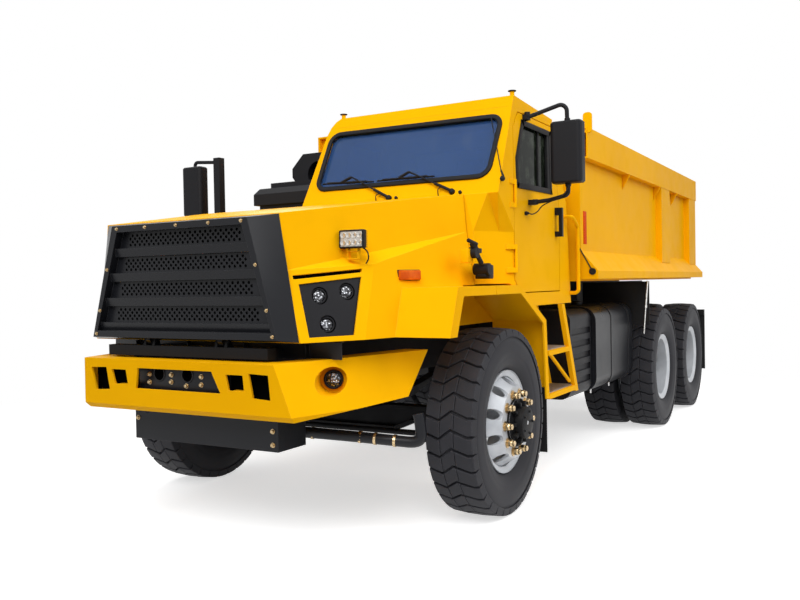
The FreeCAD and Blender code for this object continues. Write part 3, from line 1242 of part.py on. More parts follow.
def headlight_panels(shell):
    """Black lamp plates that seat against the inner face of the nose's skin."""
    shapes = []
    for side in (LEFT, RIGHT):
        at = lamp_corners(side)
        inward = (at(1, 0) - at(0, 0)).cross(at(0, 1) - at(0, 0)).normalize() * side
        if inward.y * side > 0:
            inward = inward * -1
        plate = [tuple(at(a, d) + inward * 10) for a, d in ((0.08, 0.17), (0.9, 0.13), (0.86, 0.96), (0.1, 0.96))]
        shape = panel(plate, tuple(inward * 30)).cut(shell)
        shape = max(shape.Solids, key=lambda piece: piece.Volume)
        for a, d in ((0.36, 0.37), (0.7, 0.34), (0.44, 0.76)):
            spot = at(a, d)
            shape = shape.cut(rod(tuple(spot), tuple(spot + inward * 34), 44))
        shapes.append(shape)
    feature("headlight_panels", Part.Compound(shapes))


def grille():
    """Cast surround with raised cheeks, a back plate and a rank of stepped louvres."""
    front, back = size("grille_front"), size("nose_front")
    top, low = size("grille_top"), size("grille_low")
    nose_top, nose_low = size("nose_front_top"), size("nose_low")
    half_top, half_low = size("grille_top_half"), size("grille_low_half")
    rear_top, rear_low = size("nose_front_top_half") - 6, size("front_low_half") - 6
    back_top = back + 0.3
    outer = frustum([(back_top, -rear_low, nose_low + 4), (back_top, rear_low, nose_low + 4),
                     (back_top, rear_top, nose_top - 4), (back_top, -rear_top, nose_top - 4)],
                    [(front, -half_low, low), (front, half_low, low), (front, half_top, top), (front, -half_top, top)])
    edge = 34
    hole = frustum([(back - 5, -half_low + edge, low + edge), (back - 5, half_low - edge, low + edge),
                    (back - 5, half_top - edge, top - edge), (back - 5, -half_top + edge, top - edge)],
                   [(front + 5, -half_low + edge, low + edge), (front + 5, half_low - edge, low + edge),
                    (front + 5, half_top - edge, top - edge), (front + 5, -half_top + edge, top - edge)])
    shape = outer.cut(hole)
    bars = int(size("grille_bars"))
    pitch = (top - low - 2 * edge) / bars
    for number in range(bars):
        z = low + edge + pitch * number

        def half(height):
            return half_low + (half_top - half_low) * (height - low) / (top - low) - edge + 6

        x = front - 22
        strip = [(x - 8, z), (x + 8, z + pitch * 0.34), (x - 26, z + pitch * 0.34), (x - 26, z + pitch),
                 (x - 38, z + pitch), (x - 38, z + pitch * 0.34 - 12), (x - 8, z + pitch * 0.34 - 12), (x - 20, z)]
        width = half(z)
        slat = panel([(px, -width, pz) for px, pz in strip], (0, 2 * width, 0))
        shape = shape.fuse(slat.common(outer))
    for side in (LEFT, RIGHT):
        notch = box(("nose_front - 10", "hinge_x + 26"), (f"{side} * hinge_arm_y - 50", f"{side} * hinge_arm_y + 50"),
                    ("nose_low", "hinge_z + 24"))
        shape = shape.cut(notch)
        y = side * size("hinge_arm_y")
        arm = panel([(front - 40, y - 14, low + 20), (front - 66, y - 14, low + 20),
                     (size("hinge_x") - 22, y - 14, size("hinge_z") + 4), (size("hinge_x") - 14, y - 14, size("hinge_z") - 18),
                     (size("hinge_x") + 14, y - 14, size("hinge_z") - 18), (size("hinge_x") + 30, y - 14, size("hinge_z") + 4)],
                    (0, 28, 0))
        shape = shape.fuse(arm)
        x, z = size("hinge_x"), size("hinge_z")
        shape = shape.cut(rod((x, y - 20, z), (x, y + 20, z), size("hinge_pin + running_gap")))
    feature("grille", shape.removeSplitter())


def work_light():
    """Lamp on a bracket whose foot is cut to the slope of the nose."""
    x, y, z = 930, 764, 1594
    head = Part.makeBox(70, 140, 92, Vector(x - 70, y - 70, z - 46))
    stem = Part.makeBox(30, 40, 30, Vector(x - 52, y - 20, z - 76))
    foot = Part.makeBox(48, 64, 106, Vector(x - 60, y - 32, z - 180))
    feature("work_light", join([head, stem, foot]).cut(nose_half(0, LEFT)))


# ----------------------------------------------------------------------------------------------
# Tipping body, tailgate and hoist
# ----------------------------------------------------------------------------------------------
def bed():
    body = new_body("bed")
    floor_top = "bed_floor + bed_wall"
    tray = pad(body, "YZ", "-bed_rear + tailgate_thick + 2 * gap", "-bed_front",
               [("-bed_half", "bed_floor"), ("bed_half", "bed_floor"), ("bed_half", "bed_top"), ("-bed_half", "bed_top")])
    pocket(body, "YZ", "-bed_rear - 5", "-bed_front - bed_wall",
           [("-bed_half + bed_wall", floor_top), ("bed_half - bed_wall", floor_top),
            ("bed_half - bed_wall", "bed_top + 5"), ("-bed_half + bed_wall", "bed_top + 5")])
    features = []
    features.append(pad(body, "YZ", "-bed_rear + 40", "-bed_front",
                        [("bed_half - 2", "band_low"), ("bed_half + band_out", "band_low"), ("bed_half + band_out", "bed_top"),
                         ("bed_half - bed_wall", "bed_top"), ("bed_half - bed_wall", "bed_top - 10"),
                         ("bed_half + band_out - 10", "bed_top - 10"), ("bed_half + band_out - 10", "band_low + 10"),
                         ("bed_half - 2", "band_low + 10")]))
    features.append(pad(body, "YZ", "-bed_rear + 60", "-bed_front",
                        [("bed_half - 2", "apron_top"), ("bed_half + apron_out", "apron_knee"), ("bed_half + apron_out", "apron_low"),
                         ("bed_half - 2", "apron_low")]))
    for front, width in (("post_front", "post_width"), ("bed_rear - 420", "post_width")):
        features.append(pad(body, "XZ", "bed_half - 2", "bed_half + band_out - 4",
                            [(f"-({front})", "apron_top - 60"), (f"-({front}) - {width}", "apron_top - 60"),
                             (f"-({front}) - {width}", "band_low + 2"), (f"-({front})", "band_low + 2")]))
    ear = pad(body, "XZ", "bed_half - 2", "bed_half + 20",
              [("-bed_rear + 80", "bed_top - 10"), ("-bed_rear + 80", "tailgate_pin_z - 70"),
               ("-bed_rear + 25", "tailgate_pin_z - 50"), ("-bed_rear - 12", "tailgate_pin_z - 22"),
               ("-bed_rear - 12", "tailgate_pin_z + 22"), ("-bed_rear + 25", "bed_top - 10")])
    features.append(ear)
    mirror(body, features)
    # the right front corner is cut off at 45 degrees and plated
    pocket(body, "XY", "bed_floor - 5", "bed_top + 5",
           [("-bed_front + 5", "-bed_half + 95"), ("-bed_front + 5", "-bed_half - apron_out - 15"),
            ("-bed_front - 230", "-bed_half - apron_out - 15")])
    pad(body, "XY", "bed_floor", "bed_top",
        [("-bed_front", "-bed_half + 90"), ("-bed_front - 90", "-bed_half"), ("-bed_front - 110", "-bed_half"),
         ("-bed_front - 20", "-bed_half + 90")])
    pad(body, "XY", "band_low", "bed_top",
        [("-bed_front - 88", "-bed_half + 2"), ("-bed_front - 150", "-bed_half - band_out"),
         ("-bed_front - 170", "-bed_half - band_out"), ("-bed_front - 108", "-bed_half + 2")])
    pad(body, "YZ", "-bed_front - 10", "-bed_front + 60",
        [("-headboard_half", "bed_top - 60"), ("headboard_half", "bed_top - 60"),
         ("headboard_half", "headboard_top"), ("-headboard_half", "headboard_top")])
    pocket(body, "YZ", "-bed_front + 10", "-bed_front + 61",
           [("-headboard_half + 14", "bed_top - 46"), ("headboard_half - 14", "bed_top - 46"),
            ("headboard_half - 14", "headboard_top - 14"), ("-headboard_half + 14", "headboard_top - 14")])
    pocket(body, "XZ", "-bed_half - 30", "bed_half + 30", "tailgate_pin + running_gap",
           round_at=("-bed_rear + tailgate_thick / 2", "tailgate_pin_z"))


def bed_frame():
    """Two long beams and their cross members under the tray; the rear ends turn on the tipping hinge."""
    body = new_body("bed_frame")
    under = "bed_floor - seat_gap"
    beam = pad(body, "XZ", "rail_side - 50", "rail_side + 30",
               [("-1500", "rail_high + seat_gap"), ("-pivot_x", "rail_high + seat_gap"),
                ("-pivot_x - 38", "rail_high + 22"), ("-pivot_x - 59", "pivot_z"), ("-pivot_x - 59", under),
                ("-1500", under)])
    lug = pad(body, "XZ", "hoist_lug_gap", "hoist_lug_gap + 22",
              [("-hoist_pin_x - 90", under), ("-hoist_pin_x + 90", under),
               ("-hoist_pin_x + 40", "hoist_pin_z - 40"), ("-hoist_pin_x - 40", "hoist_pin_z - 40")])
    mirror(body, [beam, lug])
    for middle in ("-2100", "-hoist_pin_x", "-4700"):
        pad(body, "XZ", "-rail_side", "rail_side",
            [(f"{middle} - 90", "bed_floor - 70"), (f"{middle} + 90", "bed_floor - 70"),
             (f"{middle} + 90", under), (f"{middle} - 90", under)])
    pocket(body, "XZ", "-rail_side - 70", "rail_side + 70", "pivot_radius + running_gap",
           round_at=("-pivot_x", "pivot_z"))


def tailgate():
    """Pressed plate that hangs from two pins in the bed's ears."""
    body = new_body("tailgate")
    half = "(bed_half - 10)"
    pad(body, "YZ", "-bed_rear", "-bed_rear + tailgate_thick",
        [(f"-{half}", "bed_floor + bed_wall + gap"), (half, "bed_floor + bed_wall + gap"),
         (half, "tailgate_pin_z + 14"), (f"-{half}", "tailgate_pin_z + 14")])
    for low, high in (("-1200", "-640"), ("-580", "-30"), ("30", "580"), ("640", "1200")):
        pocket(body, "YZ", "-bed_rear - 1", "-bed_rear + 38",
               [(low, "bed_floor + 90"), (high, "bed_floor + 90"), (high, "2310"), (low, "2310")])
    pin = pad(body, "XZ", f"{half} - 20", "bed_half + 32", "tailgate_pin",
              round_at=("-bed_rear + tailgate_thick / 2", "tailgate_pin_z"))
    mirror(body, [pin])


def hoist():
    base = Vector(-size("hoist_base_x"), 0, size("hoist_base_z"))
    pin = Vector(-size("hoist_pin_x"), 0, size("hoist_pin_z"))
    along = (pin - base).normalize()
    radius, bar = size("hoist_barrel_radius"), size("hoist_rod_radius")
    length = size("hoist_barrel_length")
    gland = base + along * length
    across = Vector(0, size("hoist_lug_gap") - 2, 0)
    barrel = join([rod(base + along * 76, gland, radius), rod(base, base + along * 90, 50),
                   rod(base - across, base + across, 52)])
    barrel = barrel.cut(rod(base - across * 2, base + across * 2, size("hoist_pin + running_gap")))
    bore = rod(base + along * 120, gland + along * 5, bar + size("running_gap"))
    feature("hoist_barrel", barrel.cut(bore))
    across = Vector(0, size("hoist_lug_gap") - 1, 0)
    feature("hoist_rod", join([rod(base + along * 140, pin, bar), rod(pin - across, pin + across, 50)]))


# ----------------------------------------------------------------------------------------------
# Build, check and write
# ----------------------------------------------------------------------------------------------
frame()
nose_member()
bumper()
guard()
power_train()
front_axle()
steering_knuckle("knuckle_left", LEFT)
steering_knuckle("knuckle_right", RIGHT)
tie_rod()
springs()
rear_axles()
for hand, facing in (("left", LEFT), ("right", RIGHT)):
    front_wheel(f"front_{hand}", facing)
    rear_wheels(f"mid_{hand}", "-wheelbase", facing)
    rear_wheels(f"rear_{hand}", "-wheelbase - bogie_spread", facing)
tanks()
side_boxes()
air_tanks()
fenders()
steps()
mudflaps()
cab_brackets()
cab()
cab_roof()
cab_glass()
cab_interior()
right_deck()
deck_boxes()
rails_and_mirrors()
door()
door_fittings()
headlight_panels(hood())
grille()
work_light()
bed()
bed_frame()
tailgate()
hoist()
doc.recompute()

for item in doc.Objects:
    if "Invalid" in item.State or "Error" in item.State:
        raise RuntimeError(f"{item.Label} ({item.Name}) failed: {item.State}")
os.makedirs("parts", exist_ok=True)
for item in PARTS:
    if item.Shape.isNull() or not item.Shape.isValid():
        raise RuntimeError(f"{item.Label} has no valid shape")
    item.Shape.exportStep(f"parts/{item.Label}.step")
    print(f"{item.Label}: {len(item.Shape.Solids)} solids, {item.Shape.Volume / 1e6:.2f} litres")
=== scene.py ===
import math

import bmesh
import bpy
from mathutils import Matrix, Vector


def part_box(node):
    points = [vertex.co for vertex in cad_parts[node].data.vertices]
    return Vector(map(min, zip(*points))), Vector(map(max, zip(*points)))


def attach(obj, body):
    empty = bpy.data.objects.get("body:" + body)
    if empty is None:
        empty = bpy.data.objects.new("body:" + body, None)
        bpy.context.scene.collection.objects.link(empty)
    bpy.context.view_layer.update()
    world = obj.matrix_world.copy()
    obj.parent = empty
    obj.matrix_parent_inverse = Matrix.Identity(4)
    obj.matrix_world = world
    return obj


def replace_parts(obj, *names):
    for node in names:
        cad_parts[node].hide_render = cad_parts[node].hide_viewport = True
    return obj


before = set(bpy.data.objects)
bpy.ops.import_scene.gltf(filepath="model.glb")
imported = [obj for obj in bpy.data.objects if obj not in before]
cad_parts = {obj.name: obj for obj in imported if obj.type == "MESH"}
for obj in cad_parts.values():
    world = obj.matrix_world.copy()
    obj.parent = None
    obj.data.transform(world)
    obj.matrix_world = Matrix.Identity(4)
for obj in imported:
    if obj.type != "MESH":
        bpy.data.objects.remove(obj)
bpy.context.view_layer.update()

# --- The camera -----------------------------------------------------------
# A full-frame camera with a 37 mm lens, held a little over a metre up, off
# the truck's left front corner and looking back at the cab.
def placed(name, data):
    """A new object of the scene, made of a mesh, a line, a lamp or a camera."""
    made = bpy.data.objects.new(name, data)
    bpy.context.scene.collection.objects.link(made)
    return made


camera_place = Vector((6.4722, 3.0987, 1.3581))
camera_yaw = math.radians(209.93)
camera_pitch = math.radians(-1.1438)
camera_roll = math.radians(-1.0631)
level_way = Vector((math.cos(camera_yaw), math.sin(camera_yaw), 0))
looking = level_way * math.cos(camera_pitch) + Vector((0, 0, math.sin(camera_pitch)))
level_right = looking.cross(Vector((0, 0, 1))).normalized()
level_up = level_right.cross(looking)
camera_right = level_right * math.cos(camera_roll) + level_up * math.sin(camera_roll)
camera_up = level_up * math.cos(camera_roll) - level_right * math.sin(camera_roll)
camera = placed("camera", bpy.data.cameras.new("camera"))
camera.data.sensor_width = 36
camera.data.lens = 37.443
turned = Matrix((camera_right, camera_up, -looking)).transposed()
camera.matrix_world = Matrix.Translation(camera_place) @ turned.to_4x4()
bpy.context.scene.camera = camera


# --- The studio -----------------------------------------------------------
# A pale paper floor that runs out into a white backdrop, three broad soft lamps
# over the nose, the left side and the tail, and an even light from the room.
class Wire:
    """One socket of a finish; sums and products of wires add their Math nodes."""

    def __init__(self, tree, socket=None):
        self.tree = tree
        self.socket = socket

    def node(self, kind, settings, sockets, out=0):
        made = self.tree.nodes.new("ShaderNode" + kind)
        for name, value in settings.items():
            setattr(made, name, value)
        for name, value in sockets.items():
            if isinstance(value, Wire):
                self.tree.links.new(value.socket, made.inputs[name])
            else:
                made.inputs[name].default_value = value
        return None if out is None else Wire(self.tree, made.outputs[out])

    def math(self, operation, first, second):
        return self.node("Math", {"operation": operation}, {0: first, 1: second})

    def __add__(self, other):
        return self.math("ADD", self, other)

    def __radd__(self, other):
        return self.math("ADD", other, self)

    def __mul__(self, other):
        return self.math("MULTIPLY", self, other)

    def __rmul__(self, other):
        return self.math("MULTIPLY", other, self)


def bare_nodes(holder):
    """Clears a material or a world, and gives the wire that its nodes are added to."""
    holder.use_nodes = True
    holder.node_tree.nodes.clear()
    return Wire(holder.node_tree)


def new_finish(name):
    material = bpy.data.materials.new(name)
    return material, bare_nodes(material)


def seen_directly(wire):
    """1 for what the camera sees, by itself, in gloss or through glass."""
    by_itself, in_gloss, through_glass = (
        wire.node("LightPath", {}, {}, f"Is {ray} Ray") for ray in ("Camera", "Glossy", "Transmission"))
    return wire.math("MAXIMUM", wire.math("MAXIMUM", by_itself, in_gloss), through_glass)


room = bpy.data.worlds.new("room")
air = bare_nodes(room)
room_light = air.node("Background", {}, {"Color": (1, 1, 1, 1), "Strength": 0.50})
room_seen = air.node("Background", {}, {"Color": (1, 1, 1, 1), "Strength": 1.0})
room_mixed = air.node("MixShader", {}, {0: seen_directly(air), 1: room_light, 2: room_seen})
air.node("OutputWorld", {}, {"Surface": room_mixed}, None)
bpy.context.scene.world = room
bpy.context.scene.view_settings.view_transform = "Standard"

floor_material, wire = new_finish("floor_paper")
paper = wire.node("BsdfDiffuse", {}, {"Color": (0.80, 0.80, 0.80, 1)})
glow = wire.node("Emission", {}, {"Color": (1, 1, 1, 1), "Strength": seen_directly(wire) * 0.60})
near = wire.node("AddShader", {}, {0: paper, 1: glow})
far = wire.node("Emission", {}, {"Color": (1, 1, 1, 1), "Strength": seen_directly(wire)})
spot = wire.node("TexCoord", {}, {}, "Object")
reach = wire.node("VectorMath", {"operation": "LENGTH"}, {0: spot}, "Value")
paper_reach, white_reach = 3.2, 6.0
fade = wire.node("MapRange", {"interpolation_type": "SMOOTHSTEP"},
                 {0: reach, 1: paper_reach, 2: white_reach})
both = wire.node("MixShader", {}, {0: fade, 1: near, 2: far})
wire.node("OutputMaterial", {}, {"Surface": both}, None)
floor_shape = bmesh.new()
bmesh.ops.create_grid(floor_shape, x_segments=2, y_segments=2, size=60)
floor_mesh = bpy.data.meshes.new("floor")
floor_shape.to_mesh(floor_mesh)
floor_shape.free()
floor_mesh.materials.append(floor_material)
placed("floor", floor_mesh)

lamps_aim = Vector((0.5, 0, 1.0))
for name, place, power in (
    ("lamp_over_nose", (9.0, 2.5, 8.0), 900),
    ("lamp_left_side", (0.0, 9.0, 7.0), 440),
    ("lamp_behind", (-8.0, -5.0, 7.0), 400),
):
    lamp = placed(name, bpy.data.lights.new(name, "AREA"))
    lamp.data.shape = "SQUARE"
    lamp.data.size = 7.0
    lamp.data.energy = power
    lamp.location = place
    lamp.rotation_euler = (lamps_aim - lamp.location).to_track_quat("-Z", "Y").to_euler()


# --- The chassis frame ----------------------------------------------------
# Two steel channel rails with cross members, bolted and sprayed satin black
# as one frame. The faces that look up are a little paler, in patches.
def coordinates(wire):
    """Object coordinates, which are metres in the truck's own frame."""
    return wire.node("TexCoord", {}, {}, "Object")


def noise(place, scale, detail=3.0):
    return place.node("TexNoise", {}, {"Vector": place, "Scale": scale, "Detail": detail})


def between(value, low, high, to_low=0.0, to_high=1.0):
    """A value's place between two limits, held within the two results."""
    limits = {0: value, 1: low, 2: high, 3: to_low, 4: to_high}
    return value.node("MapRange", {"clamp": True}, limits)


def rough(patches, least, most):
    """A roughness that follows the patches from one value to another."""
    return between(patches, 0.3, 0.7, least, most)


def blend_colour(share, first, second):
    return share.node("Mix", {"data_type": "RGBA"}, {0: share, 6: first, 7: second}, 2)


def soft_edge(wire, radius):
    """The normal with corners rounded off, as folded or ground steel has them."""
    return wire.node("Bevel", {"samples": 4}, {"Radius": radius})


def edge_wear_and_highlight(rounded):
    """1 where the rounded normal leaves the flat one, at a corner: the mask for edge wear and for
    painted edge highlights.
    """
    flat = rounded.node("NewGeometry", {}, {}, "Normal")
    match = rounded.node("VectorMath", {"operation": "DOT_PRODUCT"}, {0: rounded, 1: flat}, "Value")
    return between(match, 0.995, 0.90)


def upward(wire):
    """How far a face looks up, from 0 on a wall to 1 on a deck."""
    flat = wire.node("NewGeometry", {}, {}, "Normal")
    height = wire.node("SeparateXYZ", {}, {"Vector": flat}, "Z")
    return between(height, 0.2, 1.0)


def paler_on_top(patches, low, high, most, plain_tint, top_tint):
    """A colour that goes paler, in patches, on the faces that look up."""
    return blend_colour(upward(patches) * between(patches, low, high) * most, plain_tint, top_tint)


def bump(height, strength, distance, normal=None):
    sockets = {"Height": height, "Strength": strength, "Distance": distance}
    if normal:
        sockets["Normal"] = normal
    return height.node("Bump", {}, sockets)


def surface(wire, sockets):
    """Closes a finish with its shader, given the sockets that are set or linked."""
    shader = wire.node("BsdfPrincipled", {}, sockets)
    wire.node("OutputMaterial", {}, {"Surface": shader}, None)


def paint_nodes(material, *names):
    """Gives CAD nodes their finish, in the material slots that they already have."""
    for name in names:
        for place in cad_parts[name].material_slots:
            place.material = material


chassis_paint, wire = new_finish("chassis_paint")
place = coordinates(wire)
clouds = noise(place, 3.0)
grain = noise(place, 90.0)
rounded = soft_edge(wire, 0.003)
colour = paler_on_top(clouds, 0.35, 0.7, 0.5, (0.007, 0.007, 0.008, 1), (0.035, 0.032, 0.028, 1))
colour = blend_colour(edge_wear_and_highlight(rounded) * between(grain, 0.5, 0.7) * 0.5,
                      colour, (0.06, 0.06, 0.06, 1))
surface(wire, {
    "Base Color": colour,
    "Roughness": rough(clouds, 0.40, 0.60),
    "Specular IOR Level": 0.12,
    "Normal": bump(grain, 0.12, 0.0006, rounded),
})
paint_nodes(chassis_paint, "frame_rails", "cab_brackets", "nose_crossmember", "bed_frame")


# --- Engine and driveline -------------------------------------------------
# The engine, gearbox, shafts and axles are castings and forgings in the same
# black, rougher than the rails, with a film of oil, and a little paler in patches
# on the faces that look up.
casting_paint, wire = new_finish("casting_paint")
place = coordinates(wire)
sand = noise(place, 240.0, 4.0)
film = noise(place, 6.0)
rounded = soft_edge(wire, 0.005)
colour = paler_on_top(film, 0.4, 0.65, 0.6, (0.007, 0.007, 0.008, 1), (0.035, 0.031, 0.026, 1))
surface(wire, {
    "Base Color": colour,
    "Roughness": rough(film, 0.38, 0.62),
    "Specular IOR Level": 0.12,
    "Normal": bump(sand, 0.25, 0.0008, rounded),
})
paint_nodes(
    casting_paint, "engine_block", "driveline", "front_axle", "rear_axles",
    "leaf_springs", "knuckle_left", "knuckle_right", "tie_rod",
)


# --- Tanks and boxes ------------------------------------------------------
# The fuel tank, the air tanks and the guard are folded steel in satin black;
# the filter and battery boxes are moulded with a fine grain.
def cell_pattern(place, scale, feature="DISTANCE_TO_EDGE"):
    return place.node("TexVoronoi", {"feature": feature}, {"Vector": place, "Scale": scale})


black_paint, wire = new_finish("black_paint")
place = coordinates(wire)
clouds = noise(place, 2.2)
peel = noise(place, 160.0)
rounded = soft_edge(wire, 0.004)
# A little paler, in patches, on the faces that look up.
colour = paler_on_top(clouds, 0.35, 0.7, 0.35, (0.009, 0.0095, 0.012, 1), (0.030, 0.030, 0.030, 1))
colour = blend_colour(edge_wear_and_highlight(rounded) * 0.35, colour, (0.05, 0.05, 0.055, 1))
surface(wire, {
    "Base Color": colour,
    "Roughness": rough(clouds, 0.26, 0.38),
    "Specular IOR Level": 0.22,
    "Normal": bump(peel, 0.05, 0.0004, rounded),
})
paint_nodes(black_paint, "side_tanks", "air_tanks", "lower_guard", "hoist_barrel", "grille")

black_plastic, wire = new_finish("black_plastic")
place = coordinates(wire)
clouds = noise(place, 2.5)
grain = cell_pattern(place, 420.0)
rounded = soft_edge(wire, 0.005)
# A little paler, in patches, on the faces that look up.
colour = paler_on_top(clouds, 0.3, 0.7, 0.4, (0.009, 0.009, 0.011, 1), (0.024, 0.024, 0.026, 1))
surface(wire, {
    "Base Color": colour,
    "Roughness": rough(clouds, 0.40, 0.54),
    "Specular IOR Level": 0.15,
    "Normal": bump(grain, 0.18, 0.0004, rounded),
})
paint_nodes(
    black_plastic, "side_boxes", "deck_boxes", "dashboard", "steering_wheel",
    "door_handle", "mirror_left", "mirror_right", "headlight_panels", "work_light",
)


# --- Mudflaps -------------------------------------------------------------
# Flat sheets of moulded rubber hang behind the wheels, matt and a little grey
# with dust.
rubber, wire = new_finish("black_rubber")
place = coordinates(wire)
clouds = noise(place, 5.0)
grain = noise(place, 300.0)
rounded = soft_edge(wire, 0.003)
colour = blend_colour(between(clouds, 0.4, 0.75) * 0.5,
                      (0.008, 0.008, 0.009, 1), (0.020, 0.019, 0.018, 1))
surface(wire, {
    "Base Color": colour,
    "Roughness": rough(clouds, 0.55, 0.75),
    "Specular IOR Level": 0.2,
    "Normal": bump(grain, 0.2, 0.0005, rounded),
})
paint_nodes(rubber, "mudflaps")


# --- Hoist ----------------------------------------------------------------
# The tipping cylinder's rod is ground steel, hard chromed and wiped with oil. Its
# barrel is painted with the tanks.
chrome, wire = new_finish("bright_steel")
film = noise(coordinates(wire), 9.0)
surface(wire, {
    "Base Color": (0.60, 0.60, 0.60, 1),
    "Metallic": 1.0,
    "Roughness": rough(film, 0.10, 0.24),
    "Normal": soft_edge(wire, 0.002),
})
paint_nodes(chrome, "hoist_rod")


# --- Rims -----------------------------------------------------------------
# Pressed steel disc wheels, sprayed silver with a fine metal flake. Road dust
# lies on them in patches.
silver, wire = new_finish("silver_paint")
place = coordinates(wire)
clouds = noise(place, 7.0)
flake = noise(place, 900.0, 1.0)
rounded = soft_edge(wire, 0.004)
colour = blend_colour(between(clouds, 0.35, 0.7), (0.56, 0.58, 0.61, 1), (0.44, 0.46, 0.49, 1))
surface(wire, {
    "Base Color": colour,
    "Metallic": 0.25,
    "Roughness": rough(flake, 0.42, 0.54),
    "Normal": bump(flake, 0.05, 0.0003, rounded),
})
paint_nodes(
    silver, "front_left_rim", "front_right_rim", "mid_left_rims", "mid_right_rims",
    "rear_left_rims", "rear_right_rims",
)


# --- Hubs and wheel nuts --------------------------------------------------
# A cast black hub stands out of each disc under a flat bolted cap. Ten flanged
# nuts, plated yellow like their studs, hold the disc down round it.
same_point = 0.00001
crease_angle = 0.55


def finished(name, shape, material, body):
    """Makes a named piece of a shape, rides it on a body and gives it its finish."""
    bmesh.ops.remove_doubles(shape, verts=shape.verts, dist=same_point)
    bmesh.ops.recalc_face_normals(shape, faces=shape.faces)
    for face in shape.faces:
        face.smooth = True
    for edge in shape.edges:
        edge.smooth = edge.calc_face_angle(0) < crease_angle
    mesh = bpy.data.meshes.new(name)
    shape.to_mesh(mesh)
    shape.free()
    mesh.materials.append(material)
    piece = placed(name, mesh)
    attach(piece, body)
    return piece


def stamp(shape, part, *places):
    """Adds a copy of a part to a larger shape at each place, or where it stands."""
    for place in places or (Matrix(),):
        mesh = bpy.data.meshes.new("part")
        part.to_mesh(mesh)
        mesh.transform(place)
        shape.from_mesh(mesh)
        bpy.data.meshes.remove(mesh)


def soften(part, edges, offset, segments=1, affect="EDGES"):
    """Rounds edges, or the corners of a flat face when told to affect its vertices."""
    bmesh.ops.bevel(part, geom=edges, offset=offset, segments=segments, profile=0.5,
                    affect=affect, material=-1)


def soft_block(size, softness, segments=1):
    """A block about the origin with every edge rounded."""
    part = bmesh.new()
    bmesh.ops.create_cube(part, size=1.0)
    bmesh.ops.scale(part, vec=size, verts=part.verts)
    soften(part, part.edges[:], softness, segments)
    return part


def moved(*place):
    return Matrix.Translation(place)


def facing(place, way):
    """Stands a part that is made along Y at a place, with its front towards a direction."""
    return moved(*place) @ Vector(way).to_track_quat("Y", "Z").to_matrix().to_4x4()


def lathe(profile, steps=32):
    """Spins an outline of (along, reach) pairs once round the Y axis."""
    part = bmesh.new()
    corners = [part.verts.new((0, along, reach)) for along, reach in profile]
    edges = [part.edges.new(pair) for pair in zip(corners, corners[1:])]
    if profile[0][1] > 0 or profile[-1][1] > 0:
        edges.append(part.edges.new((corners[-1], corners[0])))
    bmesh.ops.spin(part, geom=corners + edges, cent=(0, 0, 0), axis=(0, 1, 0), angle=math.tau,
                   steps=steps, use_merge=True)
    bmesh.ops.remove_doubles(part, verts=part.verts, dist=same_point)
    return part


def bar(shape, start, end, radius, steps=12):
    """A round bar with softened ends from one point to another."""
    start, end = Vector(start), Vector(end)
    length = (end - start).length
    soft = min(radius * 0.25, 0.002)
    outline = [(0, 0), (0, radius - soft), (soft, radius), (length - soft, radius),
               (length, radius - soft), (length, 0)]
    stamp(shape, lathe(outline, steps), facing(start, end - start))


def hex_bolt(across):
    """A hexagon head with a washer face and a rounded top, standing along Y from zero."""
    part = bmesh.new()
    corner, washer = across * 0.58, across * 0.78
    bmesh.ops.create_cone(part, cap_ends=True, segments=6, radius1=corner, radius2=corner,
                          depth=across * 0.62)
    soften(part, part.edges[:], across * 0.06)
    upright = moved(0, across * 0.36, 0) @ Matrix.Rotation(math.pi / 2, 4, "X")
    bmesh.ops.transform(part, matrix=upright, verts=part.verts)
    stamp(part, lathe([(0, 0), (0, washer), (across * 0.08, washer), (across * 0.08, 0)], 18))
    return part


yellow_zinc, wire = new_finish("yellow_zinc")
stain = noise(coordinates(wire), 120.0)
surface(wire, {
    "Base Color": blend_colour(between(stain, 0.35, 0.7), (0.62, 0.47, 0.27, 1), (0.36, 0.26, 0.14, 1)),
    "Metallic": 1.0,
    "Roughness": rough(stain, 0.20, 0.40),
    "Normal": soft_edge(wire, 0.001),
})
studs = 10
stud_reach, rib_reach, hub_bolt_reach, cap_bolt_reach = 0.1675, 0.108, 0.128, 0.066
rib_rise = 0.014
wheel_nut = hex_bolt(0.038)
bmesh.ops.scale(wheel_nut, vec=(1, 1.35, 1), verts=wheel_nut.verts)
bar(wheel_nut, (0, 0.028, 0), (0, 0.047, 0), 0.0165)
hub_bolt = hex_bolt(0.012)
hub_rib = soft_block((0.018, 0.034, 0.034), 0.004)
front_hub = lathe([
    (0.1715, 0.1415), (0.182, 0.1415), (0.187, 0.1365), (0.189, 0.104), (0.195, 0.0915),
    (0.236, 0.0905), (0.242, 0.0885), (0.245, 0.082), (0.245, 0.014), (0.242, 0.010), (0.242, 0),
], 48)
rear_hub = lathe([
    (0.0145, 0.1415), (0.056, 0.1415), (0.061, 0.1365), (0.063, 0.110), (0.070, 0.0975),
    (0.158, 0.0965), (0.166, 0.0935), (0.1725, 0.082), (0.1725, 0.014), (0.1695, 0.010), (0.1695, 0),
], 48)
front_disc = (1.105, 0.171, front_hub, 0.188, 0.245)
rear_disc = (1.070, 0.014, rear_hub, 0.062, 0.1725)
wheels = {}
axles = (("front", "", front_disc), ("mid", "s", rear_disc), ("rear", "s", rear_disc))
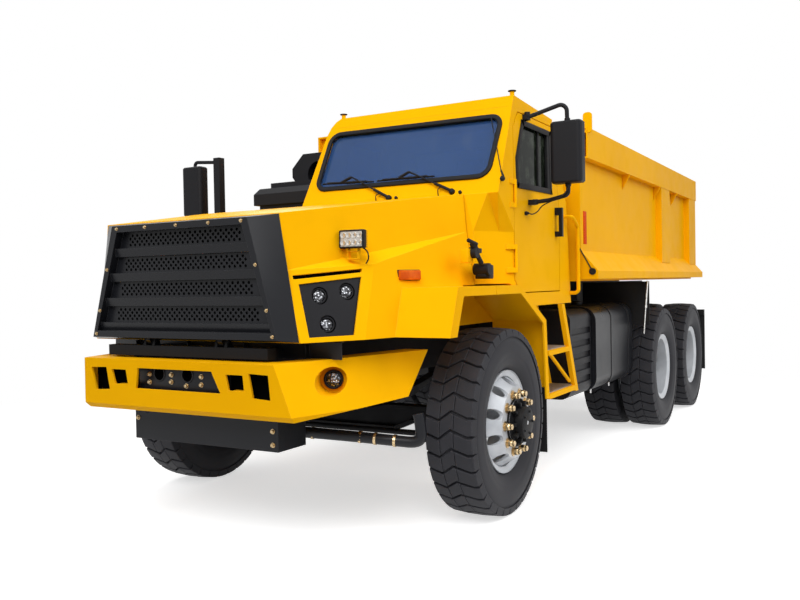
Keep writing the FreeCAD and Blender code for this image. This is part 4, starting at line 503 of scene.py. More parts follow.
for axle, twin, disc, hand in ((*axle, hand) for axle in axles for hand in ("left", "right")):
    corner, tyre = f"{axle}_{hand}_wheel{twin}", f"{axle}_{hand}_tyre{twin}"
    disc_across, disc_out, hub, hub_face, cap_face = disc
    low, high = (Vector(end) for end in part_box(tyre))
    side = 1 if low.y > 0 else -1
    centre = Vector(((low.x + high.x) / 2, side * disc_across, (low.z + high.z) / 2))
    wheels[corner] = (tyre, side, low, high)
    outward = facing(centre, (0, side, 0))
    nuts, cover = bmesh.new(), bmesh.new()
    stamp(cover, hub, outward)
    for stud in range(studs):
        round_about = outward @ Matrix.Rotation(math.tau * (stud + 0.5) / studs, 4, "Y")
        stamp(nuts, wheel_nut, round_about @ moved(0, disc_out, stud_reach))
        stamp(cover, hub_rib, round_about @ moved(0, hub_face + rib_rise, rib_reach))
        stamp(cover, hub_bolt, round_about @ moved(0, hub_face, hub_bolt_reach))
        if stud % 2:
            stamp(cover, hub_bolt, round_about @ moved(0, cap_face, cap_bolt_reach))
    finished(corner + "_nuts", nuts, yellow_zinc, corner)
    finished(corner + "_hub", cover, casting_paint, corner)


# --- Tyres ----------------------------------------------------------------
# Radial tyres with a deep zigzag block tread for loose rock, cured in one piece.
# Fine rings run round the sidewall, and the blocks' corners are scuffed paler.
tyre_rubber, wire = new_finish("tyre_rubber")
place = coordinates(wire)
clouds = noise(place, 4.0)
grain = noise(place, 260.0)
rounded = soft_edge(wire, 0.003)
colour = blend_colour(between(clouds, 0.35, 0.75), (0.021, 0.021, 0.025, 1), (0.036, 0.036, 0.041, 1))
scuffs = edge_wear_and_highlight(rounded) * between(grain, 0.4, 0.6) * 0.7
colour = blend_colour(scuffs, colour, (0.11, 0.11, 0.125, 1))
surface(wire, {
    "Base Color": colour,
    "Roughness": rough(clouds, 0.52, 0.68),
    "Specular IOR Level": 0.15,
    "Normal": bump(grain, 0.2, 0.0006, rounded),
})
tyre_half_width = 0.1445
crown_reach, crown_drop = 0.5445, 0.008
tyre_across, foot_spread = 1.08, 1.08
shoulder, shoulder_top = 0.14, 0.1375
block_rim, block_corner = 0.528, 0.6
tread_rows = 34
block_length = 0.082
slit = 0.0018
tread_splits = (-0.050, 0.032)
row_turns = ((-0.150, 0.0), (-0.059, 0.026), (0.014, -0.026), (0.110, 0.008), (0.150, 0.004))


def zigzag(across):
    """How far round the tyre a row of blocks steps, at a place across its width."""
    for (near_side, near_step), (far_side, far_step) in zip(row_turns, row_turns[1:]):
        if across <= far_side:
            return near_step + (far_step - near_step) * (across - near_side) / (far_side - near_side)
    return 0.0


def cut_across(part, place, way):
    bmesh.ops.bisect_plane(part, geom=part.verts[:] + part.edges[:] + part.faces[:],
                           plane_co=place, plane_no=way)


def tread_block(low, high):
    """One block of a row: a cube cut across, then swept to the zigzag and the crown."""
    part = bmesh.new()
    bmesh.ops.create_cube(part, size=1.0)
    bmesh.ops.scale(part, vec=(block_length, high - low, 0.02), verts=part.verts)
    bmesh.ops.translate(part, vec=(0, (low + high) / 2, 0), verts=part.verts)
    cut_across(part, (0, 0, 0), (1, 0, 0))
    for turn, step in row_turns:
        if low < turn < high:
            cut_across(part, (0, turn, 0), (0, 1, 0))
    for corner in part.verts:
        across, on_top = abs(corner.co.y), corner.co.z > 0
        at_shoulder = across > shoulder
        corner.co.x = corner.co.x * (1 if on_top else foot_spread) + zigzag(corner.co.y)
        foot_reach = 0.493 if at_shoulder else 0.515
        corner.co.z = crown_reach - (across / shoulder) ** 2 * crown_drop if on_top else foot_reach
        corner.co.z -= corner.co.x ** 2 / tyre_across
        if at_shoulder and on_top:
            corner.co.y *= shoulder_top / across
    bmesh.ops.recalc_face_normals(part, faces=part.faces)
    rim = [edge for edge in part.edges if edge.calc_face_angle(0) > block_corner
           and min(end.co.z for end in edge.verts) > block_rim]
    soften(part, rim, 0.0025)
    return part


half_outline = [
    (0.094, 0.270), (0.1005, 0.300), (0.112, 0.312), (0.128, 0.330), (0.141, 0.375), (0.1420, 0.390),
    (0.1438, 0.394), (0.1445, 0.415), (0.1445, 0.452), (0.1415, 0.478), (0.137, 0.486), (0.1375, 0.492),
    (0.131, 0.512), (0.112, 0.522), (0.0, 0.526),
]
tyre = lathe(half_outline + [(-along, reach) for along, reach in half_outline[-2::-1]], 84)
row_starts = [-tyre_half_width] + [split + slit for split in tread_splits]
row_ends = [split - slit for split in tread_splits] + [tyre_half_width]
turns = [Matrix.Rotation(math.tau * row / tread_rows, 4, "Y") for row in range(tread_rows)]
for low, high in zip(row_starts, row_ends):
    stamp(tyre, tread_block(low, high), *turns)
for corner, (name, side, low, high) in wheels.items():
    pair = bmesh.new()
    middles = {round(low.y + tyre_half_width, 4), round(high.y - tyre_half_width, 4)}
    for middle in sorted(middles):
        stamp(pair, tyre, facing(((low.x + high.x) / 2, middle, (low.z + high.z) / 2), (0, side, 0)))
    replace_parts(finished(name + "_tread", pair, tyre_rubber, corner), name)


# --- Bumper ---------------------------------------------------------------
# A welded box of 12 mm plate in the truck's yellow enamel, which has a thin
# clear gloss, a faint orange peel and slightly darker, dustier patches.
yellow, wire = new_finish("yellow_paint")
place = coordinates(wire)
clouds = noise(place, 1.3)
patches = noise(place, 7.0)
peel = noise(place, 140.0, 2.0)
rounded = soft_edge(wire, 0.004)
colour = blend_colour(between(clouds, 0.35, 0.7), (0.93, 0.460, 0.002, 1), (0.88, 0.425, 0.002, 1))
colour = blend_colour(between(patches, 0.55, 0.8) * 0.25, colour, (0.80, 0.375, 0.002, 1))
# Painted highlight: a brighter yellow along the edges, in patches.
colour = blend_colour(edge_wear_and_highlight(rounded) * between(patches, 0.4, 0.6) * 0.35,
                      colour, (0.98, 0.58, 0.05, 1))
surface(wire, {
    "Base Color": colour,
    "Roughness": rough(patches, 0.34, 0.46),
    "Specular IOR Level": 0.015,
    "Specular Tint": (1.0, 0.70, 0.05, 1),
    "Normal": bump(peel, 0.05, 0.0005, rounded),
})
paint_nodes(
    yellow, "front_bumper", "front_fenders", "cab_steps", "cab_shell",
    "cab_roof", "right_deck", "grab_rail", "hood_shell", "door_panel", "bed", "tailgate",
)


# --- Behind the bumper ----------------------------------------------------
# A black towing plate with two bored holes and its bolts shows through the middle
# slot; a bent pipe, clamped to the frame, runs back from it under the left wing,
# and a folded sill stands across the bumper's top below the nose.
# Painted shade: a matt near-black finish for flat discs and slabs that stand where only shade shows: in
# the tow plate's bores, in the bumper's slot beside the plate, and in the grille's punched holes.
painted_shade, wire = new_finish("painted_shade")
shade = noise(coordinates(wire), 30.0)
surface(wire, {
    "Base Color": blend_colour(shade, (0.0010, 0.0010, 0.0012, 1), (0.0030, 0.0030, 0.0032, 1)),
    "Roughness": 0.95,
    "Specular IOR Level": 0.0,
})
forward = (1, 0, 0)
tow_face = 3.342
tow_low, tow_high = 0.800, 0.955


def between_corners(shape, first, second, softness=0.003, segments=2):
    """A rounded block between two opposite corners."""
    first, second = Vector(first), Vector(second)
    size = [abs(far - near) for near, far in zip(first, second)]
    stamp(shape, soft_block(size, softness, segments), moved(*(first + second) / 2))


tow, bore_shade = bmesh.new(), bmesh.new()
between_corners(tow, (3.330, -0.31, tow_low), (tow_face, 0.31, tow_high), 0.002)
bores = [facing((tow_face, across, 0.910), forward) for across in (-0.161, 0.037)]
stamp(tow, lathe([(0, 0.034), (0.004, 0.034), (0.005, 0.037), (0.004, 0.041), (0, 0.042)], 28), *bores)
# Painted shade: a flat near-black disc in each bore.
stamp(bore_shade, lathe([(0, 0), (0, 0.034), (0.0012, 0.034), (0.0012, 0)], 28), *bores)
finished("tow_plate", tow, black_paint, "chassis")
# Painted shade: near-black slabs fill the slot on each side of the plate.
for side in (-1, 1):
    between_corners(bore_shade, (3.330, side * 0.640, tow_low), (3.336, side * 0.320, tow_high), 0.002, 1)
finished("tow_plate_bore_shade", bore_shade, painted_shade, "chassis")
front_bolts = bmesh.new()
guard_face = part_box("lower_guard")[1][0]
stamp(front_bolts, hex_bolt(0.017), *(facing(spot, forward) for spot in (
    (tow_face, 0.132, 0.905), (tow_face, 0.131, 0.864), (tow_face, 0.028, 0.854),
    (tow_face, -0.075, 0.907), (tow_face, -0.076, 0.870), (tow_face, -0.232, 0.905),
    (tow_face, -0.232, 0.864), (guard_face, -0.478, 0.640), (guard_face, 0.467, 0.629),
    (guard_face, 0.467, 0.560),
)))
finished("front_bolts", front_bolts, yellow_zinc, "chassis")
nose_sill = bmesh.new()
sill_half, sill_low = 0.80, 0.985
between_corners(nose_sill, (3.060, -sill_half, sill_low), (3.066, sill_half, 1.076), 0.001)
between_corners(nose_sill, (3.040, -sill_half, 1.070), (3.066, sill_half, 1.076), 0.001)
for across in (-0.60, -0.20, 0.20, 0.60):
    between_corners(nose_sill, (3.064, across - 0.003, sill_low), (3.094, across + 0.003, 1.060), 0.001)
finished("nose_sill", nose_sill, black_paint, "chassis")


def hose(name, points, radius, material, body):
    """A bent pipe or lead, as a smooth line with a round section and closed ends."""
    line = bpy.data.curves.new(name, "CURVE")
    line.dimensions = "3D"
    spline = line.splines.new("NURBS")
    spline.points.add(len(points) - 1)
    for knot, point in zip(spline.points, points):
        knot.co = (*point, 1)
    spline.order_u = 3
    spline.use_endpoint_u = True
    spline.resolution_u = 8
    line.bevel_depth = radius
    line.bevel_resolution = 4
    line.use_fill_caps = True
    line.materials.append(material)
    piece = placed(name, line)
    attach(piece, body)


hose("under_pipe", (
    (2.98, 0.30, 0.590), (2.90, 0.40, 0.575), (2.76, 0.66, 0.545), (2.706, 0.887, 0.530),
    (2.685, 1.012, 0.524), (2.67, 1.030, 0.568), (2.67, 1.007, 0.675),
), 0.030, black_paint, "chassis")
pipe_clamps = bmesh.new()
clamp = lathe([(-0.007, 0.0305), (-0.007, 0.033), (0.007, 0.033), (0.007, 0.0305)], 24)
for spot in ((2.86, 0.466, 0.566), (2.751, 0.697, 0.543), (2.732, 0.780, 0.537), (2.706, 0.885, 0.530)):
    stamp(pipe_clamps, clamp, facing(spot, (-0.26, 0.96, -0.07)))
finished("pipe_clamps", pipe_clamps, yellow_zinc, "chassis")


# --- Fog lamps ------------------------------------------------------------
# A round lamp sits in the floor of each pocket in the bumper's wings: a black
# moulded ring round a faceted reflector under its lens.
clear_lens, wire = new_finish("clear_lens")
facets = cell_pattern(coordinates(wire), 95.0, "F1")
surface(wire, {
    "Base Color": blend_colour(
        between(facets, 0.1, 0.55), (0.60, 0.62, 0.66, 1), (0.02, 0.02, 0.025, 1)),
    "Metallic": 0.75,
    "Roughness": between(facets, 0.1, 0.7, 0.06, 0.20),
    "Coat Weight": 0.5,
    "Coat Roughness": 0.02,
    "Normal": bump(facets, 0.8, 0.006),
})
lamp_ring = lathe([
    (0, 0), (0, 0.050), (0.018, 0.050), (0.023, 0.046), (0.022, 0.041), (0.010, 0.038), (0.010, 0),
], 40)
lamp_lens = lathe([
    (0.008, 0), (0.008, 0.039), (0.013, 0.039), (0.018, 0.034), (0.022, 0.022), (0.0235, 0.010),
    (0.0238, 0),
], 40)
wing_turn = math.radians(27)
pockets = [facing((3.003, side * 0.707, 0.881), (math.cos(wing_turn), side * math.sin(wing_turn), 0))
           for side in (1, -1)]
rings, lenses = bmesh.new(), bmesh.new()
stamp(rings, lamp_ring, *pockets)
stamp(lenses, lamp_lens, *pockets)
finished("fog_lamp_rings", rings, black_plastic, "chassis")
finished("fog_lamp_lenses", lenses, clear_lens, "chassis")


# --- Headlights -----------------------------------------------------------
# Three round lamps sit in wells in each black lamp plate and look a little further
# ahead than it does. They have the fog lamps' moulded ring and faceted lens.
rings, lenses = bmesh.new(), bmesh.new()
small_lamp = Matrix.Diagonal((0.82, 0.82, 0.82, 1))
well_depth, forward_lean = 0.0335, 0.35
for side in (1, -1):
    crease_front, cheek = Vector((3.276, side * 0.622, 1.430)), Vector((2.836, side * 0.857, 1.460))
    cheek_low, front_low = Vector((2.969, side * 0.878, 1.080)), Vector((3.276, side * 0.709, 1.080))
    skin_way = (cheek - crease_front).cross(front_low - crease_front).normalized()
    if skin_way.x < 0:
        skin_way = -skin_way
    ahead = (skin_way + Vector((forward_lean, 0, 0))).normalized()
    for across, down in ((0.36, 0.37), (0.70, 0.34), (0.44, 0.76)):
        upper = crease_front.lerp(cheek, across)
        spot = upper.lerp(front_low.lerp(cheek_low, across), down) - skin_way * well_depth
        stamp(rings, lamp_ring, facing(spot, ahead) @ small_lamp)
        stamp(lenses, lamp_lens, facing(spot, ahead) @ small_lamp)
finished("headlight_rings", rings, black_plastic, "hood")
finished("headlight_lenses", lenses, clear_lens, "hood")


# --- Grille ---------------------------------------------------------------
# Four louvred bands of punched plate in a folded frame, screwed to the nose
# along its top and down its sides. The oval badge place in the middle is bare.
punched_face, frame_face = 3.3162, 3.364
pitch, row_gap, band_middle = 0.0345, 0.0165, 0.0885
grille_low, grille_tall = 1.053, 0.595
half_at_foot, narrowing, margin = 0.634, 0.168, 0.092
punched = []
for base in (1.131, 1.263, 1.3945, 1.526):
    half = half_at_foot - (base - grille_low) / grille_tall * narrowing - margin
    count = int((half - pitch * 0.25) / pitch)
    for row in range(4):
        height = base + band_middle + (row - 1.5) * row_gap
        stagger = 0.5 * (row % 2)
        for column in range(-count, count + 1 - row % 2):
            punched.append(facing((punched_face, (column + stagger) * pitch, height), forward))
opening_shade, lips, screws = bmesh.new(), bmesh.new(), bmesh.new()
# Painted shade: each punched hole is a flat near-black disc on the plate, ringed by a black lip.
stamp(opening_shade, lathe([(0, 0), (0, 0.0070), (0.0006, 0.0070), (0.0006, 0)], 8), *punched)
stamp(lips, lathe([(0, 0.0070), (0.0011, 0.0076), (0, 0.0088)], 8), *punched)
finished("grille_opening_shade", opening_shade, painted_shade, "hood")
finished("grille_opening_lips", lips, black_paint, "hood")
stamp(screws, hex_bolt(0.012), *(facing((frame_face, across, height), forward) for across, height in (
    (-0.43, 1.676), (-0.22, 1.676), (0.0, 1.676), (0.22, 1.676), (0.43, 1.676), (-0.513, 1.46),
    (0.513, 1.46), (-0.575, 1.24), (0.575, 1.24), (-0.607, 1.115), (0.607, 1.115),
)))
finished("grille_screws", screws, yellow_zinc, "hood")


# --- Work lamp ------------------------------------------------------------
# A square lamp with eight small reflectors in a finned black body, on a folded
# yellow foot bolted to the nose, with its lead going in through the skin.
lamp_plate, wire = new_finish("lamp_plate")
clouds = noise(coordinates(wire), 90.0)
surface(wire, {
    "Base Color": blend_colour(clouds, (0.46, 0.43, 0.38, 1), (0.62, 0.60, 0.57, 1)),
    "Metallic": 0.6,
    "Roughness": rough(clouds, 0.15, 0.30),
    "Normal": soft_edge(wire, 0.001),
})
lamp_at = facing((2.945, 0.800, 1.586), (1.0, 0.10, 0.02))
case, cups, foot = bmesh.new(), bmesh.new(), bmesh.new()
stamp(case, soft_block((0.140, 0.034, 0.094), 0.006, 3), lamp_at)
for step in (-1, 1):
    stamp(case, soft_block((0.132, 0.008, 0.006), 0.002), lamp_at @ moved(0, 0.020, step * 0.041))
    stamp(case, soft_block((0.006, 0.008, 0.086), 0.002), lamp_at @ moved(step * 0.064, 0.020, 0))
fin_places = [lamp_at @ moved(0, -0.026, -0.040 + step * 0.010) for step in range(9)]
stamp(case, soft_block((0.130, 0.024, 0.003), 0.001), *fin_places)
stamp(cups, soft_block((0.124, 0.002, 0.078), 0.0008), lamp_at @ moved(0, 0.0175, 0))
cup = lathe([
    (0, 0), (0, 0.0145), (0.0045, 0.0152), (0.0045, 0.0135), (0.0005, 0.0045), (0.0005, 0),
], 16)
for column in range(4):
    for row in range(2):
        stamp(cups, cup, lamp_at @ moved(-0.046 + column * 0.0307, 0.018, -0.019 + row * 0.038))
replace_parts(finished("work_lamp_case", case, black_plastic, "hood"), "work_light")
finished("work_lamp_reflectors", cups, lamp_plate, "hood")
foot_cheeks = [lamp_at @ moved(shift, -0.012, -0.070) for shift in (-0.028, 0.028)]
stamp(foot, soft_block((0.004, 0.030, 0.062), 0.001), *foot_cheeks)
foot_plates = [lamp_at @ moved(0, -0.012, height) for height in (-0.100, -0.060)]
stamp(foot, soft_block((0.060, 0.036, 0.004), 0.001), *foot_plates)
finished("work_lamp_foot", foot, yellow, "hood")
hose("work_lamp_lead", (
    (2.915, 0.835, 1.545), (2.912, 0.862, 1.530), (2.905, 0.868, 1.500), (2.895, 0.858, 1.478),
    (2.885, 0.838, 1.462),
), 0.0035, rubber, "hood")


# --- Side markers ---------------------------------------------------------
# An orange moulded lens with vertical ribs, screwed to each cheek of the nose
# over a thin black base.
def banded(place, way, scale):
    """Even bands across one direction."""
    settings = {"wave_type": "BANDS", "bands_direction": way}
    return place.node("TexWave", settings, {"Vector": place, "Scale": scale})


orange_lens, wire = new_finish("orange_lens")
place = coordinates(wire)
ribs = banded(place, "X", 60.0)
clouds = noise(place, 14.0)
surface(wire, {
    "Base Color": blend_colour(
        between(clouds, 0.45, 0.6), (0.72, 0.150, 0.006, 1), (0.56, 0.075, 0.004, 1)),
    "Roughness": between(ribs, 0.0, 1.0, 0.12, 0.25),
    "Specular IOR Level": 0.3,
    "Specular Tint": (1.0, 0.45, 0.10, 1),
    "Normal": bump(ribs, 0.35, 0.002),
})
cheeks = [facing((2.607, side * 0.929, 1.401), (0.325, side * 0.945, 0.02)) for side in (1, -1)]
markers, marker_bases = bmesh.new(), bmesh.new()
for cheek in cheeks:
    stamp(markers, soft_block((0.150, 0.018, 0.052), 0.006, 3), cheek @ moved(0, 0.010, 0))
    stamp(marker_bases, soft_block((0.158, 0.006, 0.058), 0.002), cheek @ moved(0, 0.001, 0))
finished("side_marker_lenses", markers, orange_lens, "hood")
finished("side_marker_bases", marker_bases, black_plastic, "hood")


# --- Nose latches ---------------------------------------------------------
# A rubber strap with a crossbar handle on a yellow bracket holds each side of
# the nose down; its hook sits in a black bracket on the cab's side.
for side, name in ((1, "left"), (-1, "right")):
    bracket, strap, keeper = bmesh.new(), bmesh.new(), bmesh.new()
    skin, hook, out = side * 1.105, side * 1.140, side * 1.142
    between_corners(bracket, (2.215, skin - 0.024, 1.465), (2.290, skin + 0.024, 1.545), 0.004)
    finished("latch_bracket_" + name, bracket, yellow, "hood")
    bar(strap, (2.292, out - side * 0.012, 1.592), (2.236, out + side * 0.020, 1.566), 0.011)
    bar(strap, (2.250, out, 1.575), (2.205, out, 1.520), 0.020)
    bar(strap, (2.228, out - side * 0.03, 1.522), (2.228, out + side * 0.018, 1.522), 0.032, 20)
    bar(strap, (2.205, out, 1.520), (2.160, out + side * 0.010, 1.462), 0.014)
    between_corners(strap, (2.160, out - 0.016, 1.520), (2.212, out + 0.016, 1.548), 0.006)
    finished("latch_strap_" + name, strap, rubber, "hood")
    bar(keeper, (2.128, side * 1.095, 1.430), (2.128, side * 1.190, 1.430), 0.034, 20)
    between_corners(keeper, (2.060, hook - 0.045, 1.375), (2.130, hook + 0.045, 1.455), 0.008)
    between_corners(keeper, (2.045, hook - 0.030, 1.385), (2.150, hook + 0.030, 1.410), 0.005)
    finished("latch_keeper_" + name, keeper, black_plastic, "chassis")


# --- Windshield seal and wipers -------------------------------------------
# A broad black rubber seal holds the glass in the sloping front wall. Two arms
# on spindles below it press their blades to the glass, each with a washer jet.
front_lean = 0.4298
front_way = Vector((1, 0, front_lean)).normalized()


def on_front(across, height, proud=0.0):
    """A point on the cab's sloping front wall, or proud of it."""
    return Vector((2.016 - (height - 1.875) * front_lean, across, height)) + front_way * proud


def thicken(part, push):
    """Pushes a flat sheet along a vector, which makes it a closed slab."""
    raised = bmesh.ops.extrude_face_region(part, geom=part.faces[:])
    tops = [item for item in raised["geom"] if isinstance(item, bmesh.types.BMVert)]
    bmesh.ops.translate(part, vec=push, verts=tops)
    bmesh.ops.recalc_face_normals(part, faces=part.faces)


sharp_angle = 1.0


def sharp_edges(part):
    return [edge for edge in part.edges if edge.calc_face_angle(0) > sharp_angle]


def rubber_seal(corners, way, width, radius, thickness):
    """A rounded ring of rubber laid along the corners of a window."""
    part = bmesh.new()
    part.faces.new([part.verts.new(corner) for corner in corners])
    soften(part, part.verts[:], radius, 8, "VERTICES")
    part.faces.ensure_lookup_table()
    inside = part.faces[0]
    bmesh.ops.inset_region(part, faces=[inside], use_boundary=True, use_even_offset=True,
                           thickness=width, depth=0)
    bmesh.ops.delete(part, geom=[inside], context="FACES")
    thicken(part, way * thickness)
    soften(part, sharp_edges(part), min(thickness, width) * 0.3, 2)
    return part


window_corners = ((-0.126, 1.967), (1.131, 1.964), (1.163, 2.365), (-0.097, 2.375))
seal = rubber_seal([on_front(*corner, -0.004) for corner in window_corners],
                   front_way, 0.029, 0.085, 0.018)
finished("windshield_seal", seal, rubber, "chassis")
wipers = bmesh.new()
knob = lathe([(0, 0), (0, 0.019), (0.016, 0.017), (0.022, 0.012), (0.024, 0)], 20)
jet = lathe([(0, 0), (0, 0.011), (0.012, 0.010), (0.016, 0.005), (0.017, 0)], 16)
for pivot, elbow, blade_from, blade_to, jet_at in (
    ((0.467, 1.886), (0.168, 2.034), (-0.062, 2.012), (0.332, 1.999), (0.519, 1.884)),
    ((0.901, 1.896), (0.591, 2.033), (0.359, 2.001), (0.767, 1.999), (0.956, 1.888)),
):
    start, end = on_front(*pivot, 0.018), on_front(*elbow, 0.030)
    stamp(wipers, knob, facing(on_front(*pivot), front_way))
    stamp(wipers, jet, facing(on_front(*jet_at), front_way))
    bar(wipers, start, start.lerp(end, 0.38), 0.0095)
    bar(wipers, start.lerp(end, 0.34), end, 0.0055)
    low, high = on_front(*blade_from, 0.014), on_front(*blade_to, 0.014)
    spine, saddle = front_way * 0.008, front_way * 0.012
    bar(wipers, low, high, 0.0055)
    bar(wipers, low.lerp(high, 0.12) + spine, low.lerp(high, 0.88) + spine, 0.0065)
    bar(wipers, low.lerp(high, 0.40) + saddle, end, 0.009)
    for share in (0.12, 0.36, 0.64, 0.88):
        spot = low.lerp(high, share)
        bar(wipers, spot, spot + saddle, 0.0075, 8)
finished("wipers", wipers, black_plastic, "chassis")
for name, across, height in (("washer_lead_1", 0.467, 1.886), ("washer_lead_2", 0.901, 1.896)):
    hose(name, [on_front(across - inward, height + rise, proud) for inward, rise, proud in (
        (0.055, 0.026, 0.022), (0.085, 0.020, 0.030), (0.092, -0.004, 0.012), (0.090, -0.020, -0.002),
    )], 0.003, rubber, "chassis")


# --- Aerial and roof caps -------------------------------------------------
# A whip aerial on a ball foot at the left pillar, and a black rubber cap on each
# of the two studs at the roof's front corners.
aerial = bmesh.new()
foot_at, tip = Vector((1.980, 1.213, 1.955)), Vector((1.868, 1.100, 2.330))
ball = [(-0.016, 0), (-0.013, 0.010), (-0.006, 0.016), (0.004, 0.016), (0.012, 0.010), (0.016, 0)]
stamp(aerial, lathe(ball, 20), facing(foot_at, (0.2, 1, 0)))
bar(aerial, foot_at + Vector((0, 0.010, 0.004)), foot_at.lerp(tip, 0.13), 0.0055)
bar(aerial, foot_at.lerp(tip, 0.10), tip, 0.0028)
bar(aerial, tip - Vector((0, 0, 0.006)), tip + Vector((0, 0, 0.008)), 0.0048)
roof_cap = [(0, 0), (0, 0.023), (0.003, 0.026), (0.006, 0.024), (0.0065, 0.010), (0.005, 0)]
upwards = (0, 0, 1)
roof_studs = [facing((1.732, across, 2.5075), upwards) for across in (-0.044, 1.180)]
stamp(aerial, lathe(roof_cap, 28), *roof_studs)
finished("aerial_and_caps", aerial, rubber, "chassis")


# --- Door fittings --------------------------------------------------------
# The door's window has a black frame, broad along its top and rear, with a
# sliding-pane bar. The mirrors' glass faces back; the left one hangs on the door
# by four bosses, with its heating lead plugged in beside them.
window_frame = rubber_seal([
    (1.736, 1.201, 1.925), (1.748, 1.201, 2.105), (1.641, 1.201, 2.350), (1.136, 1.201, 2.350),
    (1.116, 1.201, 1.935),
], Vector((0, 1, 0)), 0.034, 0.010, 0.007)
between_corners(window_frame, (1.128, 1.184, 1.940), (1.196, 1.205, 2.345), 0.002)
between_corners(window_frame, (1.330, 1.183, 1.930), (1.348, 1.196, 2.345), 0.002)
finished("door_window_frame", window_frame, rubber, "door")
mirror_glass, wire = new_finish("mirror_glass")
film = noise(coordinates(wire), 8.0)
surface(wire, {
    "Base Color": (0.80, 0.82, 0.84, 1),
    "Metallic": 1.0,
    "Roughness": between(film, 0.4, 0.8, 0.02, 0.10),
})
for name, body, rear, (inner, foot), (outer, head) in (
    ("mirror_glass_left", "door", 1.4945, (1.385, 1.975), (1.537, 2.300)),
    ("mirror_glass_right", "chassis", 1.6225, (-1.393, 1.930), (-1.537, 2.255)),
):
    glass = bmesh.new()
    between_corners(glass, (rear - 0.003, inner, foot), (rear + 0.003, outer, head), 0.002)
    finished(name, glass, mirror_glass, body)
mirror_mounts = bmesh.new()
for along, across, foot, head, radius in (
    (1.594, 1.222, 2.352, 2.402, 0.018), (1.516, 1.236, 1.836, 1.868, 0.020),
    (1.546, 1.461, 2.300, 2.345, 0.018), (1.546, 1.461, 1.930, 1.975, 0.018),
):
    bar(mirror_mounts, (along, across, foot), (along, across, head), radius)
finished("mirror_mounts", mirror_mounts, black_plastic, "door")
hose("mirror_lead", (
    (1.560, 1.478, 1.965), (1.572, 1.470, 1.905), (1.566, 1.415, 1.866), (1.540, 1.345, 1.846),
    (1.505, 1.275, 1.828), (1.500, 1.245, 1.790), (1.545, 1.225, 1.772), (1.585, 1.222, 1.778),
    (1.600, 1.200, 1.778),
), 0.0038, rubber, "door")
plug = bmesh.new()
bar(plug, (1.600, 1.200, 1.778), (1.600, 1.216, 1.778), 0.013)
bar(plug, (1.600, 1.214, 1.778), (1.596, 1.226, 1.778), 0.008)
finished("mirror_lead_plug", plug, black_plastic, "door")


# --- Steps ----------------------------------------------------------------
# Each tread carries a strip of serrated bright steel, and a round yellow brace
# slopes from the upper tread down to the lower one on the outside.
raw_steel, wire = new_finish("tread_steel")
brushed = noise(coordinates(wire), 60.0)
surface(wire, {
    "Base Color": blend_colour(brushed, (0.58, 0.58, 0.58, 1), (0.34, 0.33, 0.31, 1)),
    "Metallic": 0.9,
    "Roughness": rough(brushed, 0.28, 0.50),
    "Normal": soft_edge(wire, 0.001),
})
slat_pitch = 0.024
treads, braces = bmesh.new(), bmesh.new()
tooth = soft_block((0.160, 0.004, 0.006), 0.0015)
for side in (1, -1):
    for height, rear, front in ((0.904, 0.915, 1.340), (0.622, 0.785, 1.340)):
        between_corners(treads, (rear + 0.015, side * 1.068, height),
                        (front - 0.015, side * 1.228, height + 0.003), 0.001, 1)
        for slat in range(int((front - rear - 0.05) / slat_pitch)):
            spot = moved(rear + 0.034 + slat * slat_pitch, side * 1.148, height + 0.005)
            stamp(treads, tooth, spot @ Matrix.Rotation(math.pi / 2, 4, "Z"))
    bar(braces, (1.290, side * 1.235, 0.880), (0.905, side * 1.235, 0.660), 0.012)
finished("step_treads", treads, raw_steel, "chassis")
finished("step_braces", braces, yellow, "chassis")


# --- Tank straps ----------------------------------------------------------
# Two steel straps over thin rubber hold each tank against the frame, drawn down
# by bolts under the tank; a filler cap stands on top.
def plate(corners, push, softness, radius=0.0):
    """A flat outline, its corners rounded where asked, pushed along a vector."""
    part = bmesh.new()
    part.faces.new([part.verts.new(corner) for corner in corners])
    if radius:
        soften(part, part.verts[:], radius, 8, "VERTICES")
    thicken(part, push)
    soften(part, sharp_edges(part), softness)
    return part


straps, strap_pads, tank_bolts = bmesh.new(), bmesh.new(), bmesh.new()
tank_low, tank_high = 0.500, 1.150
filler_cap = lathe([(0, 0), (0, 0.045), (0.022, 0.045), (0.030, 0.040), (0.032, 0)])
for side in (1, -1):
    middle, bolt_at, inner = side * 0.86, side * 1.045, side * 0.640
    for along in (-0.730, -0.200):
        for shape, grow, half in ((strap_pads, 0.0015, 0.032), (straps, 0.0045, 0.022)):
            outer, foot, head = side * (1.225 + grow), tank_low - grow, tank_high + grow
            ends = ((inner, foot), (outer, foot), (outer, head), (inner, head))
            stamp(shape, plate([(along - half, *end) for end in ends], (2 * half, 0, 0), 0.001, 0.110))
        between_corners(straps, (along - 0.024, middle - 0.20, 0.470),
                        (along + 0.024, middle + 0.20, 0.496))
        stamp(tank_bolts, hex_bolt(0.016), facing((along, bolt_at, 0.470), (0, 0, -1)))
        bar(tank_bolts, (along, bolt_at, 0.430), (along, bolt_at, 0.495), 0.006)
    stamp(straps, filler_cap, facing((-0.45, middle, tank_high), upwards))
finished("tank_straps", straps, black_paint, "chassis")
finished("tank_strap_pads", strap_pads, rubber, "chassis")
finished("tank_bolts", tank_bolts, chrome, "chassis")


